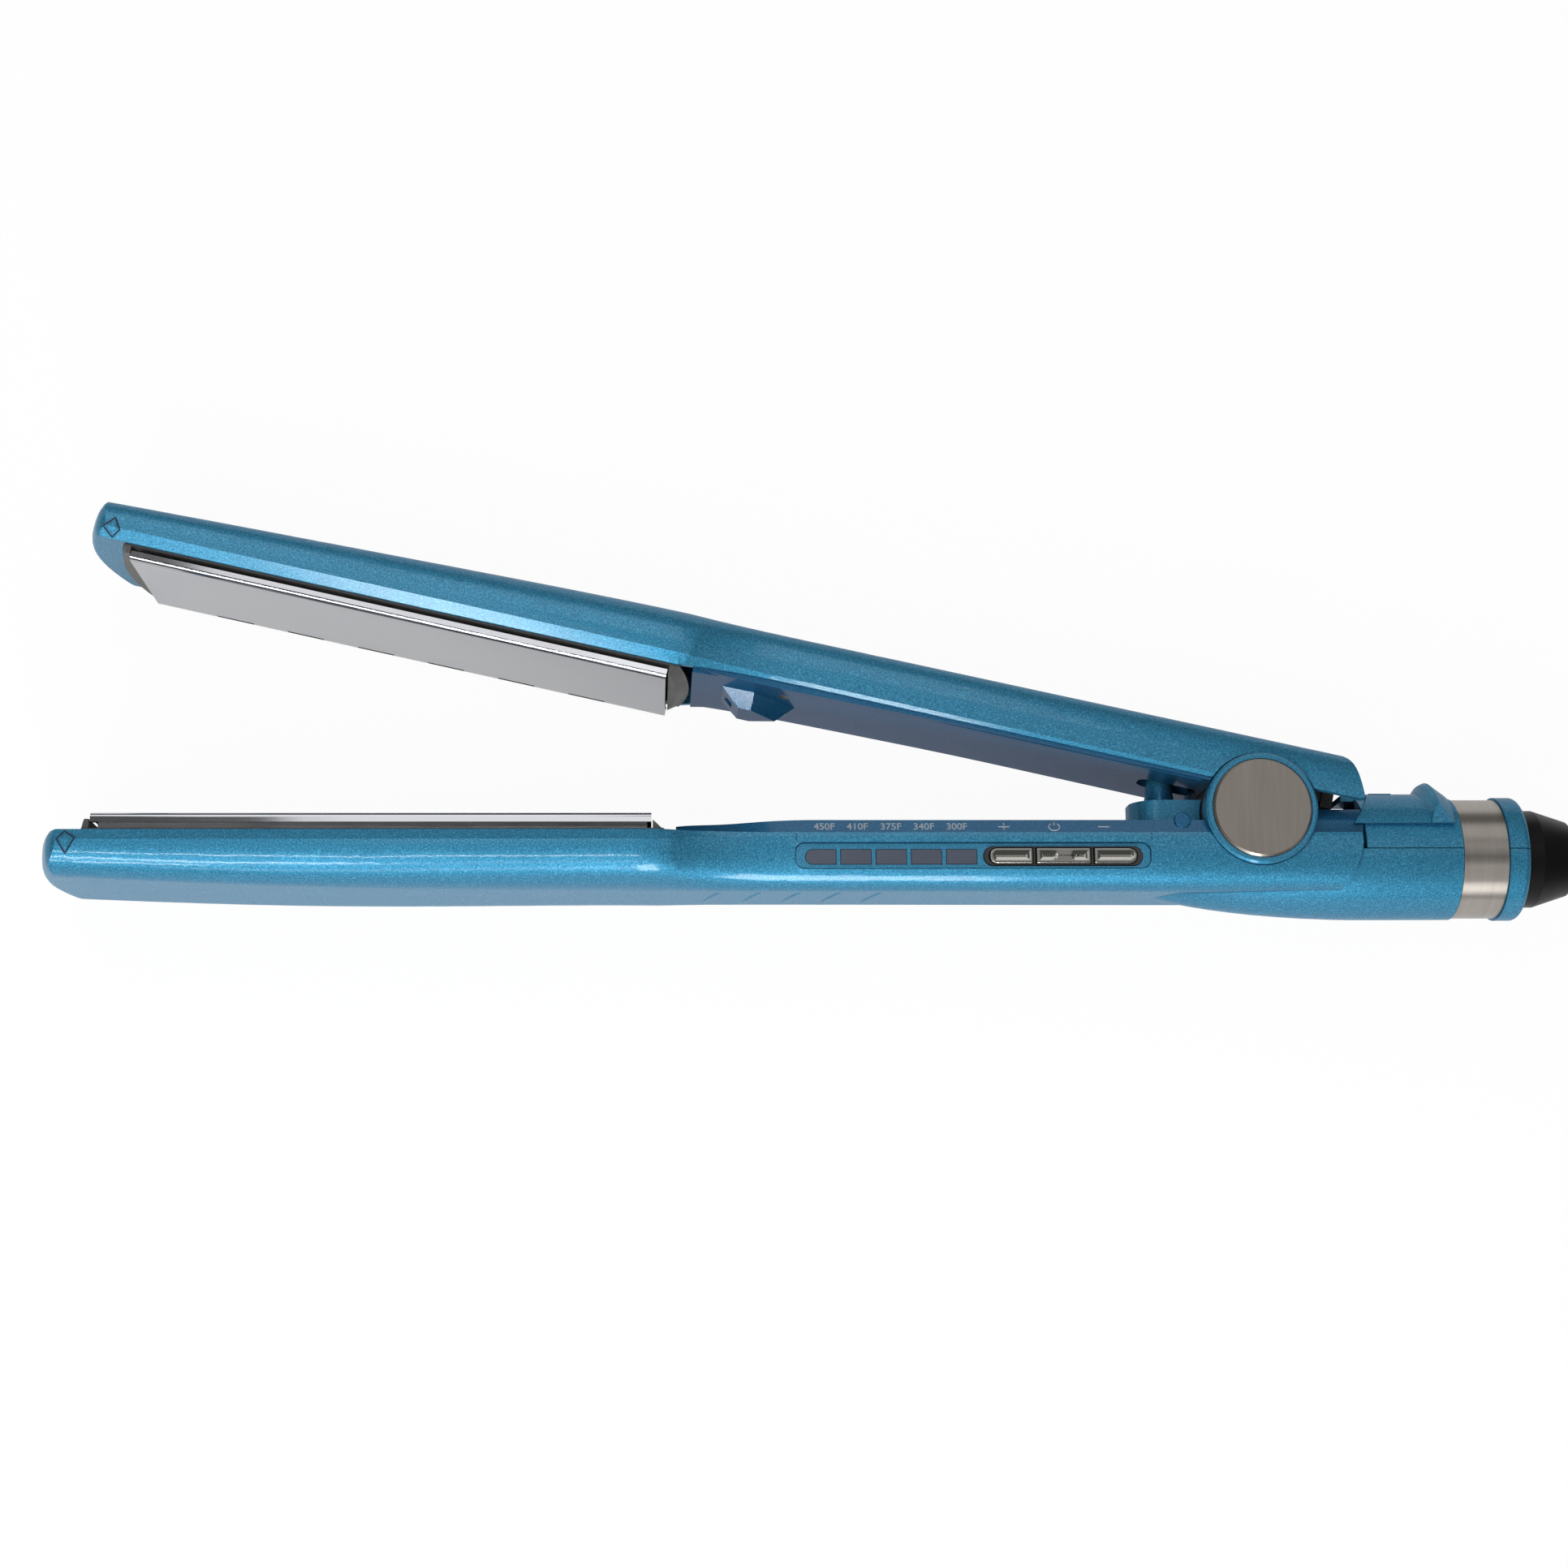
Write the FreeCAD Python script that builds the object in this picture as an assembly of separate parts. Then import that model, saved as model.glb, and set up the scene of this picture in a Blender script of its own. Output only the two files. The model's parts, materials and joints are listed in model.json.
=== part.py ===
# Hair straightening iron with two spring-opened arms, floating mirror plates,
# a control panel with light windows and three buttons, a sliding lock and a
# swivel cord gland.
#
# Millimetres. The hinge pin stands along Z. The lower arm runs towards -X and
# carries the cord barrel at +X. The iron lies on its far side, so the far
# hinge disc faces down and its face is at Z = 0. The pieces are drawn about
# the middle plane of the iron and lifted at the end. The pieces of the upper
# arm are drawn with the iron closed and swung open at the end.

import FreeCAD, Part
import math
import os

V = FreeCAD.Vector

# Fits and clearances
running_fit = 0.05
press_gap = 0.03
panel_gap = 0.15
piece_gap = 0.3
parting_gap = 0.2
cut_margin = 1.0

# Closing
open_angle = 12.75
plate_meet_y = -1.3
plate_meet_gap = 0.2
plate_float = 0.8

# Hair plates
plate_length = 126.2
plate_width = 38.1
plate_rear_x = -141.0
plate_thickness = 1.2
plate_lip = 2.2
plate_corner = 1.1
slot_count = 6
slot_pitch = 17.45
slot_length = 9.0
slot_height = 1.0
carrier_width = 30.0
carrier_height = 3.2
heater_width = 14.0
heater_height = 1.4
heater_end_margin = 8.0

# Arm bodies, as half widths and as places along X
wall = 1.8
nose_x = -280.4
nose_bulge = 3.4
nose_corner_half = 18.5
nose_corner_run = 6.0
nose_inner_round = 1.5
nose_inner_depth = 3.5
nose_outer_round = 2.4
nose_outer_depth = 4.5
nose_round_steps = 4
bay_rear_x = -139.0
waist_length = 36.0
bay_rim_half = 20.2
bay_wide_half = 21.5
handle_rim_half = 15.9
handle_wide_half = 16.25
bay_chamfer = 2.5
handle_chamfer = 0.9
nose_flat_half = 14.8
handle_flat_half = 9.2
flat_narrowing_end_x = -120.0
side_fullness = 0.72
edge_fullness = 0.62
knee_softness = 15.0
bay_pitch = 36.0
waist_pitch = 9.0
handle_pitch = 45.0
cover_pitch = 10.0

# Lower arm
lower_rim_y = -5.5
lower_outer_y = -17.75
lower_knee_x = -225.0
lower_nose_slope = -0.045
lower_handle_slope = -0.003
lower_end_top_x = 24.3
lower_end_top_y = -4.3
lower_end_foot_x = 16.5
lower_end_round = 2.0
lower_end_bevel = 1.0
cover_front_x = -135.4
cover_rear_x = -14.6
cover_end_x = -11.0
cover_crest_y = -2.4
cover_crest_half = 14.6
cover_crown = 1.2
cover_ramp_length = 31.0
cover_lip_depth = 1.6
cover_thickness = 1.8

# Upper arm, closed
upper_rim_y = 2.4
upper_outer_y = 17.0
upper_knee_x = -155.0
upper_nose_slope = 0.0425
upper_handle_slope = 0.0064
upper_seam_y = 4.9
upper_face_y = 4.1
upper_face_front_y = 2.9
upper_face_rise_x = -60.0
upper_cover_step = 0.5
tail_round_x = 14.5
tail_top_x = 19.0
tail_top_y = 16.05
tail_corner_x = 22.9
tail_corner_y = 8.9
tail_foot_x = 21.9
tail_foot_y = 7.4

# Plate frames
frame_front_x = -272.0
frame_rear_x = -136.0
frame_half = 19.3
frame_front_bulge = 3.0
frame_rear_bulge = 2.3
frame_end_drop = 1.5
frame_front_slope = 0.5
frame_rear_slope = 2.6
frame_rail_height = 0.4
frame_side_gap = 0.6
float_spring_radius = 3.2
float_spring_wall = 0.5
float_spring_z = 11.0
frame_base_depth = 4.5
frame_floor = 1.6

# Hinge
pin_radius = 2.5
knuckle_radius = 12.6
knuckle_half = 12.4
ring_inner_z = 12.7
ring_outer_z = 17.2
ring_radius = 13.1
ring_seat_z = 16.2
disc_radius = 11.55
disc_face_z = 17.8
washer_radius = 5.0
washer_thickness = 0.8
washer_proud = 0.2
knuckle_block_half = 9.0
ring_edge = 0.5
disc_edge = 0.5

# Cord barrel
barrel_axis_y = -9.1
barrel_radius = 14.4
barrel_full_x = 28.0
barrel_nose_length = 66.6
barrel_wall = 1.9
band_front_x = 47.4
band_rear_x = 58.4
band_radius = 14.05
band_thickness = 0.7
cap_rear_x = 63.5
cap_radius = 14.6
cap_opening_radius = 11.7
cap_edge = 1.5
cap_end_wall = 2.0
band_edge = 0.25
top_cover_front_x = 24.8

# Cord gland
gland_rear_x = 84.0
gland_flange_radius = 12.5
gland_flange_width = 2.4
gland_neck_radius = 11.4
gland_body_radius = 11.5
gland_step_x = 76.0
gland_step_radius = 8.9
gland_tail_radius = 7.9
gland_end_radius = 6.2
cord_bore_radius = 3.6
cord_bore_length = 12.0

# Lock
slider_front_x = 22.2
slider_rear_x = 45.9
slider_half = 14.2
slider_skin = 0.9
slider_travel = 5.5
slider_ridge_x = 42.9
slider_ridge_width = 5.8
slider_ridge_top_y = 9.0
tongue_top_y = 5.4
tongue_thickness = 1.4
tongue_half = 4.5
tongue_tip_x = 21.6
tongue_root_rear_x = 34.0
slider_slant = 6.2
bed_front_x = 11.0
bed_top_y = 0.9
catch_front_x = 15.0
catch_rear_x = 17.8
catch_thickness = 1.5
catch_half = 7.0
catch_web = 1.5

# Control panel
panel_front_x = -108.2
panel_rear_x = -26.1
panel_top_y = -7.85
panel_foot_y = -13.9
panel_face_z = 15.3
panel_thickness = 2.2
panel_corner = 2.2
window_top_y = -9.5
window_foot_y = -12.8
window_first_x = -105.75
window_length = 6.9
window_pitch = 8.1
window_count = 5
window_proud = 0.25
surround_front_x = -64.8
surround_rear_x = -28.1
surround_top_y = -8.85
surround_foot_y = -13.2
surround_proud = 0.35
button_top_y = -9.2
button_foot_y = -12.85
plus_front_x = -63.6
plus_rear_x = -53.5
power_front_x = -52.8
power_rear_x = -40.1
minus_front_x = -39.4
minus_rear_x = -29.3
button_proud = 0.95
button_thickness = 2.0
button_stem_radius = 1.0
button_travel = 0.6
board_face_z = 9.6
board_thickness = 1.6
board_margin = 1.0
switch_size = 3.4
switch_height = 2.4
switch_plunger = 0.6
button_edge = 0.35
led_size = 2.0
led_height = 1.2
post_radius = 1.0
post_margin = 2.0

# Lead duct in front of the hinge, and the torsion spring round the pin
block_front_x = -28.5
block_rear_x = -10.5
block_foot_y = -3.0
block_top_y = 3.7
block_half = 8.0
block_round = 6.5
neck_x = -20.8
neck_foot_radius = 3.7
neck_top_radius = 2.8
neck_top_y = 10.0
neck_bore_radius = 1.7
spring_strip = 0.5
spring_inner_radius = 3.3
spring_pitch = 0.9
spring_half_turns = 6
spring_half = 5.0

# Guide lug and its pocket
lug_front_x = -130.0
lug_ridge_x = -120.5
lug_rear_x = -109.5
lug_base_y = 3.4
lug_height = 4.4
lug_half = 7.5
lug_ridge_half = 5.5
lug_crest_length = 3.0
lug_tail_slope = 5.0
lug_notch_depth = 1.2
lug_notch_length = 3.0
lug_notch_half = 2.2

# Fasteners
screw_head_radius = 2.4
screw_shank_radius = 1.1
screw_head_depth = 1.5
screw_length = 7.0
front_screw_x = -114.7
rear_screw_x = -44.0
screw_z = 8.4
lead_radius = 0.7
lead_y = -15.5
lead_spread = 2.5


def box(x0, x1, y0, y1, z0, z1):
    """Block between two corners."""
    return Part.makeBox(x1 - x0, y1 - y0, z1 - z0, V(x0, y0, z0))


def disc(radius, z0, z1, x=0.0, y=0.0):
    """Cylinder that stands along Z."""
    return Part.makeCylinder(radius, z1 - z0, V(x, y, z0), V(0, 0, 1))


def post(radius, y0, y1, x, z):
    """Cylinder that stands along Y."""
    return Part.makeCylinder(radius, y1 - y0, V(x, y0, z), V(0, 1, 0))


def rod(radius, x0, x1, y, z):
    """Cylinder that lies along X."""
    return Part.makeCylinder(radius, x1 - x0, V(x0, y, z), V(1, 0, 0))


def prism(points, direction):
    """Closed polygon pushed along a direction."""
    return Part.Face(Part.makePolygon(points + [points[0]])).extrude(direction)


def mirrored(shape):
    """The same shape on the other side of the middle plane."""
    return shape.mirror(V(0, 0, 0), V(0, 0, 1))


def both_sides(shape):
    """A shape together with its mirror image."""
    return shape.fuse(mirrored(shape))


def spindle(points, y):
    """Solid turned about an axis along X at height y, from points (x, radius)."""
    outline = [V(x, y + radius, 0) for x, radius in points]
    face = Part.Face(Part.makePolygon(outline + [outline[0]]))
    return face.revolve(V(0, y, 0), V(1, 0, 0), 360)


def bezier(points):
    """Curve with the given poles."""
    curve = Part.BezierCurve()
    curve.setPoles(points)
    return curve.toShape()


def ease(x, start, end, first, last):
    """Value that goes smoothly from first to last between two places."""
    share = min(max((x - start) / (end - start), 0.0), 1.0)
    return first + (last - first) * share * share * (3 - 2 * share)


def knee(x, corner, level, before, after):
    """Two slopes that meet in a soft corner."""
    run = x - corner
    bend = (after - before) / 2 * math.hypot(run, knee_softness)
    return level + (before + after) / 2 * run + bend


def waist(x):
    """Share of the plate bay's extra width that is left at x."""
    share = min(max((x - bay_rear_x) / waist_length, 0.0), 1.0)
    return (1 - share) ** 3


def rim_half(x):
    return handle_rim_half + (bay_rim_half - handle_rim_half) * waist(x)


def wide_half(x):
    return handle_wide_half + (bay_wide_half - handle_wide_half) * waist(x)


def chamfer(x):
    return handle_chamfer + (bay_chamfer - handle_chamfer) * waist(x)


def flat_half(x):
    return ease(x, nose_x, flat_narrowing_end_x, nose_flat_half, handle_flat_half)


def lower_outer(x):
    return knee(x, lower_knee_x, lower_outer_y, lower_nose_slope, lower_handle_slope)


def upper_outer(x):
    return knee(x, upper_knee_x, upper_outer_y, upper_nose_slope, upper_handle_slope)


def lower_rim(x):
    return lower_rim_y


def upper_rim(x):
    """The upper rim runs level along the bay and steps up to the handle's seam."""
    return upper_seam_y + (upper_rim_y - upper_seam_y) * waist(x)


def arm_section(x, side, rim, outer, inset=0.0):
    """Outline across an arm at x. side is -1 for the lower and 1 for the upper arm."""
    top = rim(x) - side * (cut_margin if inset else 0.0)
    shoulder = rim(x) + side * chamfer(x)
    back = outer(x) - side * inset
    rim_z = rim_half(x) - inset
    wide_z = wide_half(x) - inset
    flat_z = flat_half(x) - inset * 0.6
    reach = side_fullness * (back - shoulder)
    inner_z = flat_z + edge_fullness * (wide_z - flat_z)
    edges = [
        Part.makeLine(V(x, top, -rim_z), V(x, shoulder, -wide_z)),
        bezier([V(x, shoulder, -wide_z), V(x, shoulder + reach, -wide_z),
                V(x, back, -inner_z), V(x, back, -flat_z)]),
        Part.makeLine(V(x, back, -flat_z), V(x, back, flat_z)),
        bezier([V(x, back, flat_z), V(x, back, inner_z),
                V(x, shoulder + reach, wide_z), V(x, shoulder, wide_z)]),
        Part.makeLine(V(x, shoulder, wide_z), V(x, top, rim_z)),
        Part.makeLine(V(x, top, rim_z), V(x, top, -rim_z)),
    ]
    return Part.Wire(edges)


def stations(start, end, pitch):
    """Evenly spaced places from start to end."""
    count = max(int(math.ceil((end - start) / pitch)), 1)
    return [start + (end - start) * i / count for i in range(count + 1)]


def arm_solid(start, end, side, rim, outer, inset=0.0):
    """Solid of an arm between two places: bay, waist and handle."""
    waist_rear_x = bay_rear_x + waist_length
    solid = None
    for first, last, pitch in ((start, bay_rear_x, bay_pitch),
                               (bay_rear_x, waist_rear_x, waist_pitch),
                               (waist_rear_x, end, handle_pitch)):
        places = stations(first, last, pitch)
        wires = [arm_section(x, side, rim, outer, inset) for x in places]
        part = Part.makeLoft(wires, True, False)
        solid = part if solid is None else solid.fuse(part)
    return solid


def bay_prism():
    """Plan of an arm's hollow, whose front follows the plate frame's bowed end."""
    front = frame_front_x - panel_gap
    corner_x = front + frame_front_bulge
    rear = cap_rear_x
    z = frame_half + panel_gap
    y0 = -40.0
    edges = [
        Part.Arc(V(corner_x, y0, z), V(front, y0, 0), V(corner_x, y0, -z)).toShape(),
        Part.makeLine(V(corner_x, y0, -z), V(rear, y0, -z)),
        Part.makeLine(V(rear, y0, -z), V(rear, y0, z)),
        Part.makeLine(V(rear, y0, z), V(corner_x, y0, z)),
    ]
    return Part.Face(Part.Wire(edges)).extrude(V(0, 80, 0))


def nose_plan(y, inset):
    """Plan of an arm at a height: a bowed nose with round corners, open to the rear."""
    tip = nose_x + inset
    corner_x = tip + nose_bulge
    side_x = corner_x + nose_corner_run
    side_z = bay_wide_half + cut_margin
    far_x = cap_rear_x
    near = V(corner_x, y, nose_corner_half)
    far = V(corner_x, y, -nose_corner_half)
    edges = [
        Part.Arc(near, V(tip, y, 0), far).toShape(),
        bezier([far, V(corner_x + 1.2, y, -side_z + 0.8), V(side_x, y, -side_z)]),
        Part.makeLine(V(side_x, y, -side_z), V(far_x, y, -side_z)),
        Part.makeLine(V(far_x, y, -side_z), V(far_x, y, side_z)),
        Part.makeLine(V(far_x, y, side_z), V(side_x, y, side_z)),
        bezier([V(side_x, y, side_z), V(corner_x + 1.2, y, side_z - 0.8), near]),
    ]
    return Part.Wire(edges)


def nose_prism(side, rim_y, outer_y):
    """Arm's plan as a solid whose nose rounds off towards its inner and outer faces."""
    plans = [nose_plan(rim_y - side * 30, nose_inner_round)]
    for step in range(nose_round_steps + 1):
        angle = math.pi / 2 * (1 - step / nose_round_steps)
        plans.append(nose_plan(rim_y + side * nose_inner_depth * (1 - math.sin(angle)),
                               nose_inner_round * (1 - math.cos(angle))))
    for step in range(nose_round_steps + 1):
        angle = math.pi / 2 * step / nose_round_steps
        plans.append(nose_plan(outer_y - side * nose_outer_depth * (1 - math.sin(angle)),
                               nose_outer_round * (1 - math.cos(angle))))
    plans.append(nose_plan(outer_y + side * 30, nose_outer_round))
    return Part.makeLoft(plans, True, True)


def ellipse_barrel(radius, length, rear_x):
    """Round barrel with a long pointed front, along X to rear_x."""
    centre = V(barrel_full_x, barrel_axis_y, 0)
    ellipse = Part.Ellipse(centre, length, radius)
    tip = V(barrel_full_x - length, barrel_axis_y, 0)
    top = V(barrel_full_x, barrel_axis_y + radius, 0)
    rear = V(rear_x, barrel_axis_y + radius, 0)
    foot = V(rear_x, barrel_axis_y, 0)
    front = Part.ArcOfEllipse(ellipse, math.pi / 2, math.pi).toShape()
    edges = [front, Part.makeLine(top, rear), Part.makeLine(rear, foot), Part.makeLine(foot, tip)]
    face = Part.Face(Part.Wire(Part.__sortEdges__(edges)))
    return face.revolve(V(0, barrel_axis_y, 0), V(1, 0, 0), 360)


def screws_at(places, y, side):
    """Countersunk screws whose heads lie flush at y and whose shanks run along side."""
    screws = []
    for x, z in places:
        shank_y = y if side > 0 else y - screw_length
        head = Part.makeCone(screw_head_radius, screw_shank_radius, screw_head_depth,
                             V(x, y, z), V(0, side, 0))
        screws.append(head.fuse(post(screw_shank_radius, shank_y, shank_y + screw_length, x, z)))
    return Part.makeCompound(screws)


def screw_holes(places, y, side):
    """Room for the screws, a little wider than they are."""
    cutter = None
    for x, z in places:
        length = screw_length + piece_gap
        shank_y = y if side > 0 else y - length
        hole = post(screw_shank_radius + press_gap, shank_y, shank_y + length, x, z)
        head = Part.makeCone(screw_head_radius + press_gap, screw_shank_radius + press_gap,
                             screw_head_depth, V(x, y, z), V(0, side, 0))
        hole = hole.fuse(head)
        cutter = hole if cutter is None else cutter.fuse(hole)
    return cutter


def lower_end_outline(z, forward):
    """Rounded rear end of the lower arm's sides, with all that lies behind it."""
    top = lower_end_top_y + 20
    foot = lower_outer_y - 3
    far_x = cap_rear_x + 10
    edge_x = lower_end_top_x - forward
    foot_x = lower_end_foot_x - forward
    corner = V(edge_x - lower_end_round, lower_end_top_y, z)
    edges = [
        Part.makeLine(V(corner.x, top, z), corner),
        bezier([corner, V(edge_x, lower_end_top_y, z), V(edge_x + 1.2, barrel_axis_y, z),
                V((edge_x + foot_x) / 2 + 1.5, foot + 5, z), V(foot_x, foot, z)]),
        Part.makeLine(V(foot_x, foot, z), V(far_x, foot, z)),
        Part.makeLine(V(far_x, foot, z), V(far_x, top, z)),
        Part.makeLine(V(far_x, top, z), V(corner.x, top, z)),
    ]
    return Part.Wire(edges)


def lower_end_prism():
    """What lies behind the lower arm's sides, bevelled where they stand off the barrel."""
    straight = Part.Face(lower_end_outline(-30, 0)).extrude(V(0, 0, 60))
    outer_z = handle_wide_half + cut_margin
    bevel = Part.makeLoft([lower_end_outline(ring_inner_z, -lower_end_bevel),
                           lower_end_outline(outer_z, lower_end_bevel)], True, True)
    return straight.fuse(both_sides(bevel))


def panel_pocket(margin=0.0):
    """Rounded block in the near side that the control panel fills."""
    block = box(panel_front_x - margin, panel_rear_x + margin, panel_foot_y - margin,
                panel_top_y + margin, panel_face_z - panel_thickness, bay_wide_half + 5)
    edges = [e for e in block.Edges if abs(e.tangentAt(e.FirstParameter).z) > 0.99]
    return block.makeFillet(panel_corner + margin, edges)


def guide_lug():
    """Ridge under the upper arm with a sloping, notched front and a pointed tail."""
    base = lug_base_y + cut_margin
    tip = lug_base_y - lug_height
    foot = [V(lug_front_x, base, -lug_half), V(lug_front_x, base, lug_half),
            V(lug_ridge_x, base, lug_half), V(lug_rear_x, base, 0),
            V(lug_ridge_x, base, -lug_half)]
    crest_front_x = lug_ridge_x - lug_crest_length
    top = [V(crest_front_x, tip, -lug_ridge_half), V(crest_front_x, tip, lug_ridge_half),
           V(lug_ridge_x, tip, lug_ridge_half), V(lug_rear_x - lug_tail_slope, tip, 0),
           V(lug_ridge_x, tip, -lug_ridge_half)]
    wires = [Part.makePolygon(foot + [foot[0]]), Part.makePolygon(top + [top[0]])]
    lug = Part.makeLoft(wires, True, True)
    notch_x = (lug_front_x + crest_front_x) / 2
    notch = box(notch_x - lug_notch_length / 2, notch_x + lug_notch_length / 2, tip - 1,
                lug_base_y - lug_notch_depth, -lug_notch_half, lug_notch_half)
    return lug.cut(notch)


def lower_outer_shell():
    outer = arm_solid(nose_x - 2, lower_end_top_x + 2, -1, lower_rim, lower_outer)
    nose = nose_prism(-1, lower_rim(nose_x), lower_outer(nose_x))
    outer = outer.common(nose).cut(lower_end_prism())
    barrel = ellipse_barrel(barrel_radius, barrel_nose_length, band_front_x)
    spigot = rod(band_radius - band_thickness - press_gap, band_front_x - 1, band_rear_x,
                 barrel_axis_y, 0)
    barrel = barrel.fuse(spigot)
    above = box(-60, top_cover_front_x, barrel_axis_y, 20, -20, 20)
    above = above.fuse(box(top_cover_front_x - 1, cap_rear_x, barrel_axis_y, 20, -20, 20))
    outer = outer.fuse(barrel.cut(above))
    inner = arm_solid(nose_x - 2, cover_rear_x + panel_gap, -1, lower_rim, lower_outer, wall)
    inner = inner.common(bay_prism())
    bore = ellipse_barrel(barrel_radius - barrel_wall, barrel_nose_length - 2 * barrel_wall,
                          band_front_x - 3)
    bore = bore.fuse(rod(band_radius - band_thickness - barrel_wall, barrel_full_x, cap_rear_x,
                         barrel_axis_y, 0))
    knuckle_room = disc(ring_radius + piece_gap, -ring_inner_z, ring_inner_z)
    passage = box(-ring_radius - 8, ring_radius, lead_y - lead_radius - panel_gap,
                  lead_y + lead_radius + panel_gap, -lead_spread - 2, lead_spread + 2)
    between = box(-ring_radius - 6, lower_end_top_x + 5, barrel_axis_y, 10, -ring_inner_z,
                  ring_inner_z)
    shell = outer.cut(inner).cut(bore).cut(knuckle_room).cut(passage).cut(between)
    seat = disc(ring_radius + panel_gap, ring_inner_z - 1, ring_outer_z + 5)
    shell = shell.cut(both_sides(seat)).cut(panel_pocket())
    return shell


def crest(x):
    """Height of the inner cover's edge, which ramps up behind the plate."""
    rise = ease(x, cover_front_x - cover_ramp_length * 0.4, cover_front_x + cover_ramp_length,
                0.0, 1.0)
    return lower_rim_y + 0.4 + (cover_crest_y - lower_rim_y - 0.4) * rise


def cover_section(x, drop=0.0):
    """Outline across the lower inner cover: leaning flanks under a low crown."""
    edge_y = crest(x) - drop
    seam_z = rim_half(x) - drop
    edge_z = seam_z - (handle_rim_half - cover_crest_half)
    crown_y = edge_y + cover_crown
    foot_y = lower_rim_y - (cover_lip_depth + cut_margin if drop else 0.0)
    edges = [
        Part.makeLine(V(x, foot_y, -seam_z), V(x, edge_y, -edge_z)),
        Part.Arc(V(x, edge_y, -edge_z), V(x, crown_y, 0), V(x, edge_y, edge_z)).toShape(),
        Part.makeLine(V(x, edge_y, edge_z), V(x, foot_y, seam_z)),
        Part.makeLine(V(x, foot_y, seam_z), V(x, foot_y, -seam_z)),
    ]
    return Part.Wire(edges)


def lower_inner_cover():
    places = stations(cover_front_x, cover_end_x, cover_pitch)
    cap = Part.makeLoft([cover_section(x) for x in places], True, False)
    inner = arm_solid(nose_x, cover_rear_x, -1, lower_rim, lower_outer, wall + panel_gap)
    lip = box(cover_front_x, cover_rear_x, lower_rim_y - cover_lip_depth, lower_rim_y, -30, 30)
    cover = cap.fuse(inner.common(lip))
    hollow_places = stations(cover_front_x + 8, cover_rear_x - wall, cover_pitch)
    hollow = Part.makeLoft([cover_section(x, cover_thickness) for x in hollow_places], True, False)
    cover = cover.cut(hollow)
    duct = box(block_front_x - press_gap, block_rear_x, block_foot_y - 5, 0,
               -block_half - press_gap, block_half + press_gap)
    knuckle = disc(ring_radius + piece_gap, -ring_inner_z, ring_inner_z)
    seats = both_sides(disc(ring_radius + panel_gap, ring_inner_z - 1, ring_outer_z))
    cover = cover.cut(duct).cut(knuckle).cut(seats)
    return cover.cut(screw_holes(lower_screw_places(), lower_screw_y(), -1))


def plate_face(side):
    """Height of a plate's polished face with the iron closed."""
    return plate_meet_y + side * plate_meet_gap / 2


def layer(side, x0, x1, start, end, half):
    """Block that lies between two depths under a plate's face."""
    face = plate_face(side)
    low, high = sorted((face + side * start, face + side * end))
    return box(x0, x1, low, high, -half, half)


def plate_front():
    return plate_rear_x - plate_length


def slot_places():
    middle = plate_rear_x - plate_length / 2
    return [middle + (i - (slot_count - 1) / 2) * slot_pitch for i in range(slot_count)]


def hair_plate(side):
    """Mirror sheet with rolled long edges and clip slots along the far bend."""
    half = plate_width / 2
    sheet = layer(side, plate_front(), plate_rear_x, 0, plate_lip, half)
    face = plate_face(side)
    bends = []
    for edge in sheet.Edges:
        first, last = [v.Point for v in edge.Vertexes]
        if abs(first.x - last.x) > 1 and abs(first.y - face) < 0.01 and abs(last.y - face) < 0.01:
            bends.append(edge)
    sheet = sheet.makeFillet(plate_corner, bends)
    hollow = layer(side, plate_front() - 1, plate_rear_x + 1, plate_thickness, plate_lip + 1,
                   half - plate_thickness)
    sheet = sheet.cut(hollow)
    for x in slot_places():
        slot_z = half - plate_corner
        sheet = sheet.cut(box(x - slot_length / 2, x + slot_length / 2, face - plate_lip,
                              face + plate_lip, -slot_z, slot_height - slot_z))
    return sheet


def carrier(side):
    """Bar under the sheet that spreads the heat, with a groove for the heater."""
    bar = layer(side, plate_front() + 1, plate_rear_x - 1, plate_thickness,
                plate_thickness + carrier_height, carrier_width / 2)
    groove = layer(side, plate_front(), plate_rear_x, plate_thickness + carrier_height
                   - heater_height, plate_lip + carrier_height, heater_width / 2 + press_gap)
    return bar.cut(groove)


def heater(side):
    base = plate_thickness + carrier_height
    return layer(side, plate_front() + heater_end_margin, plate_rear_x - heater_end_margin,
                 base - heater_height, base, heater_width / 2)


def thermistor(side):
    """Bead that senses the plate's heat, at the rear end of the heater."""
    face = plate_face(side)
    depth = plate_thickness + carrier_height - heater_height / 2
    x = plate_rear_x - heater_end_margin
    return rod(heater_height / 2 - press_gap, x + press_gap, x + 5, face + side * depth, 0)


def frame_plan(y, raised=0.0):
    """Outline of a plate frame with bowed, sloping ends, at a height."""
    front = frame_front_x + frame_front_slope * raised
    rear = frame_rear_x - frame_rear_slope * raised
    front_corner = front + frame_front_bulge
    rear_corner = rear - frame_rear_bulge
    z = frame_half - frame_front_slope * raised
    edges = [
        Part.Arc(V(front_corner, y, z), V(front, y, 0), V(front_corner, y, -z)).toShape(),
        Part.makeLine(V(front_corner, y, -z), V(rear_corner, y, -z)),
        Part.Arc(V(rear_corner, y, -z), V(rear, y, 0), V(rear_corner, y, z)).toShape(),
        Part.makeLine(V(rear_corner, y, z), V(front_corner, y, z)),
    ]
    return Part.Wire(edges)


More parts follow.
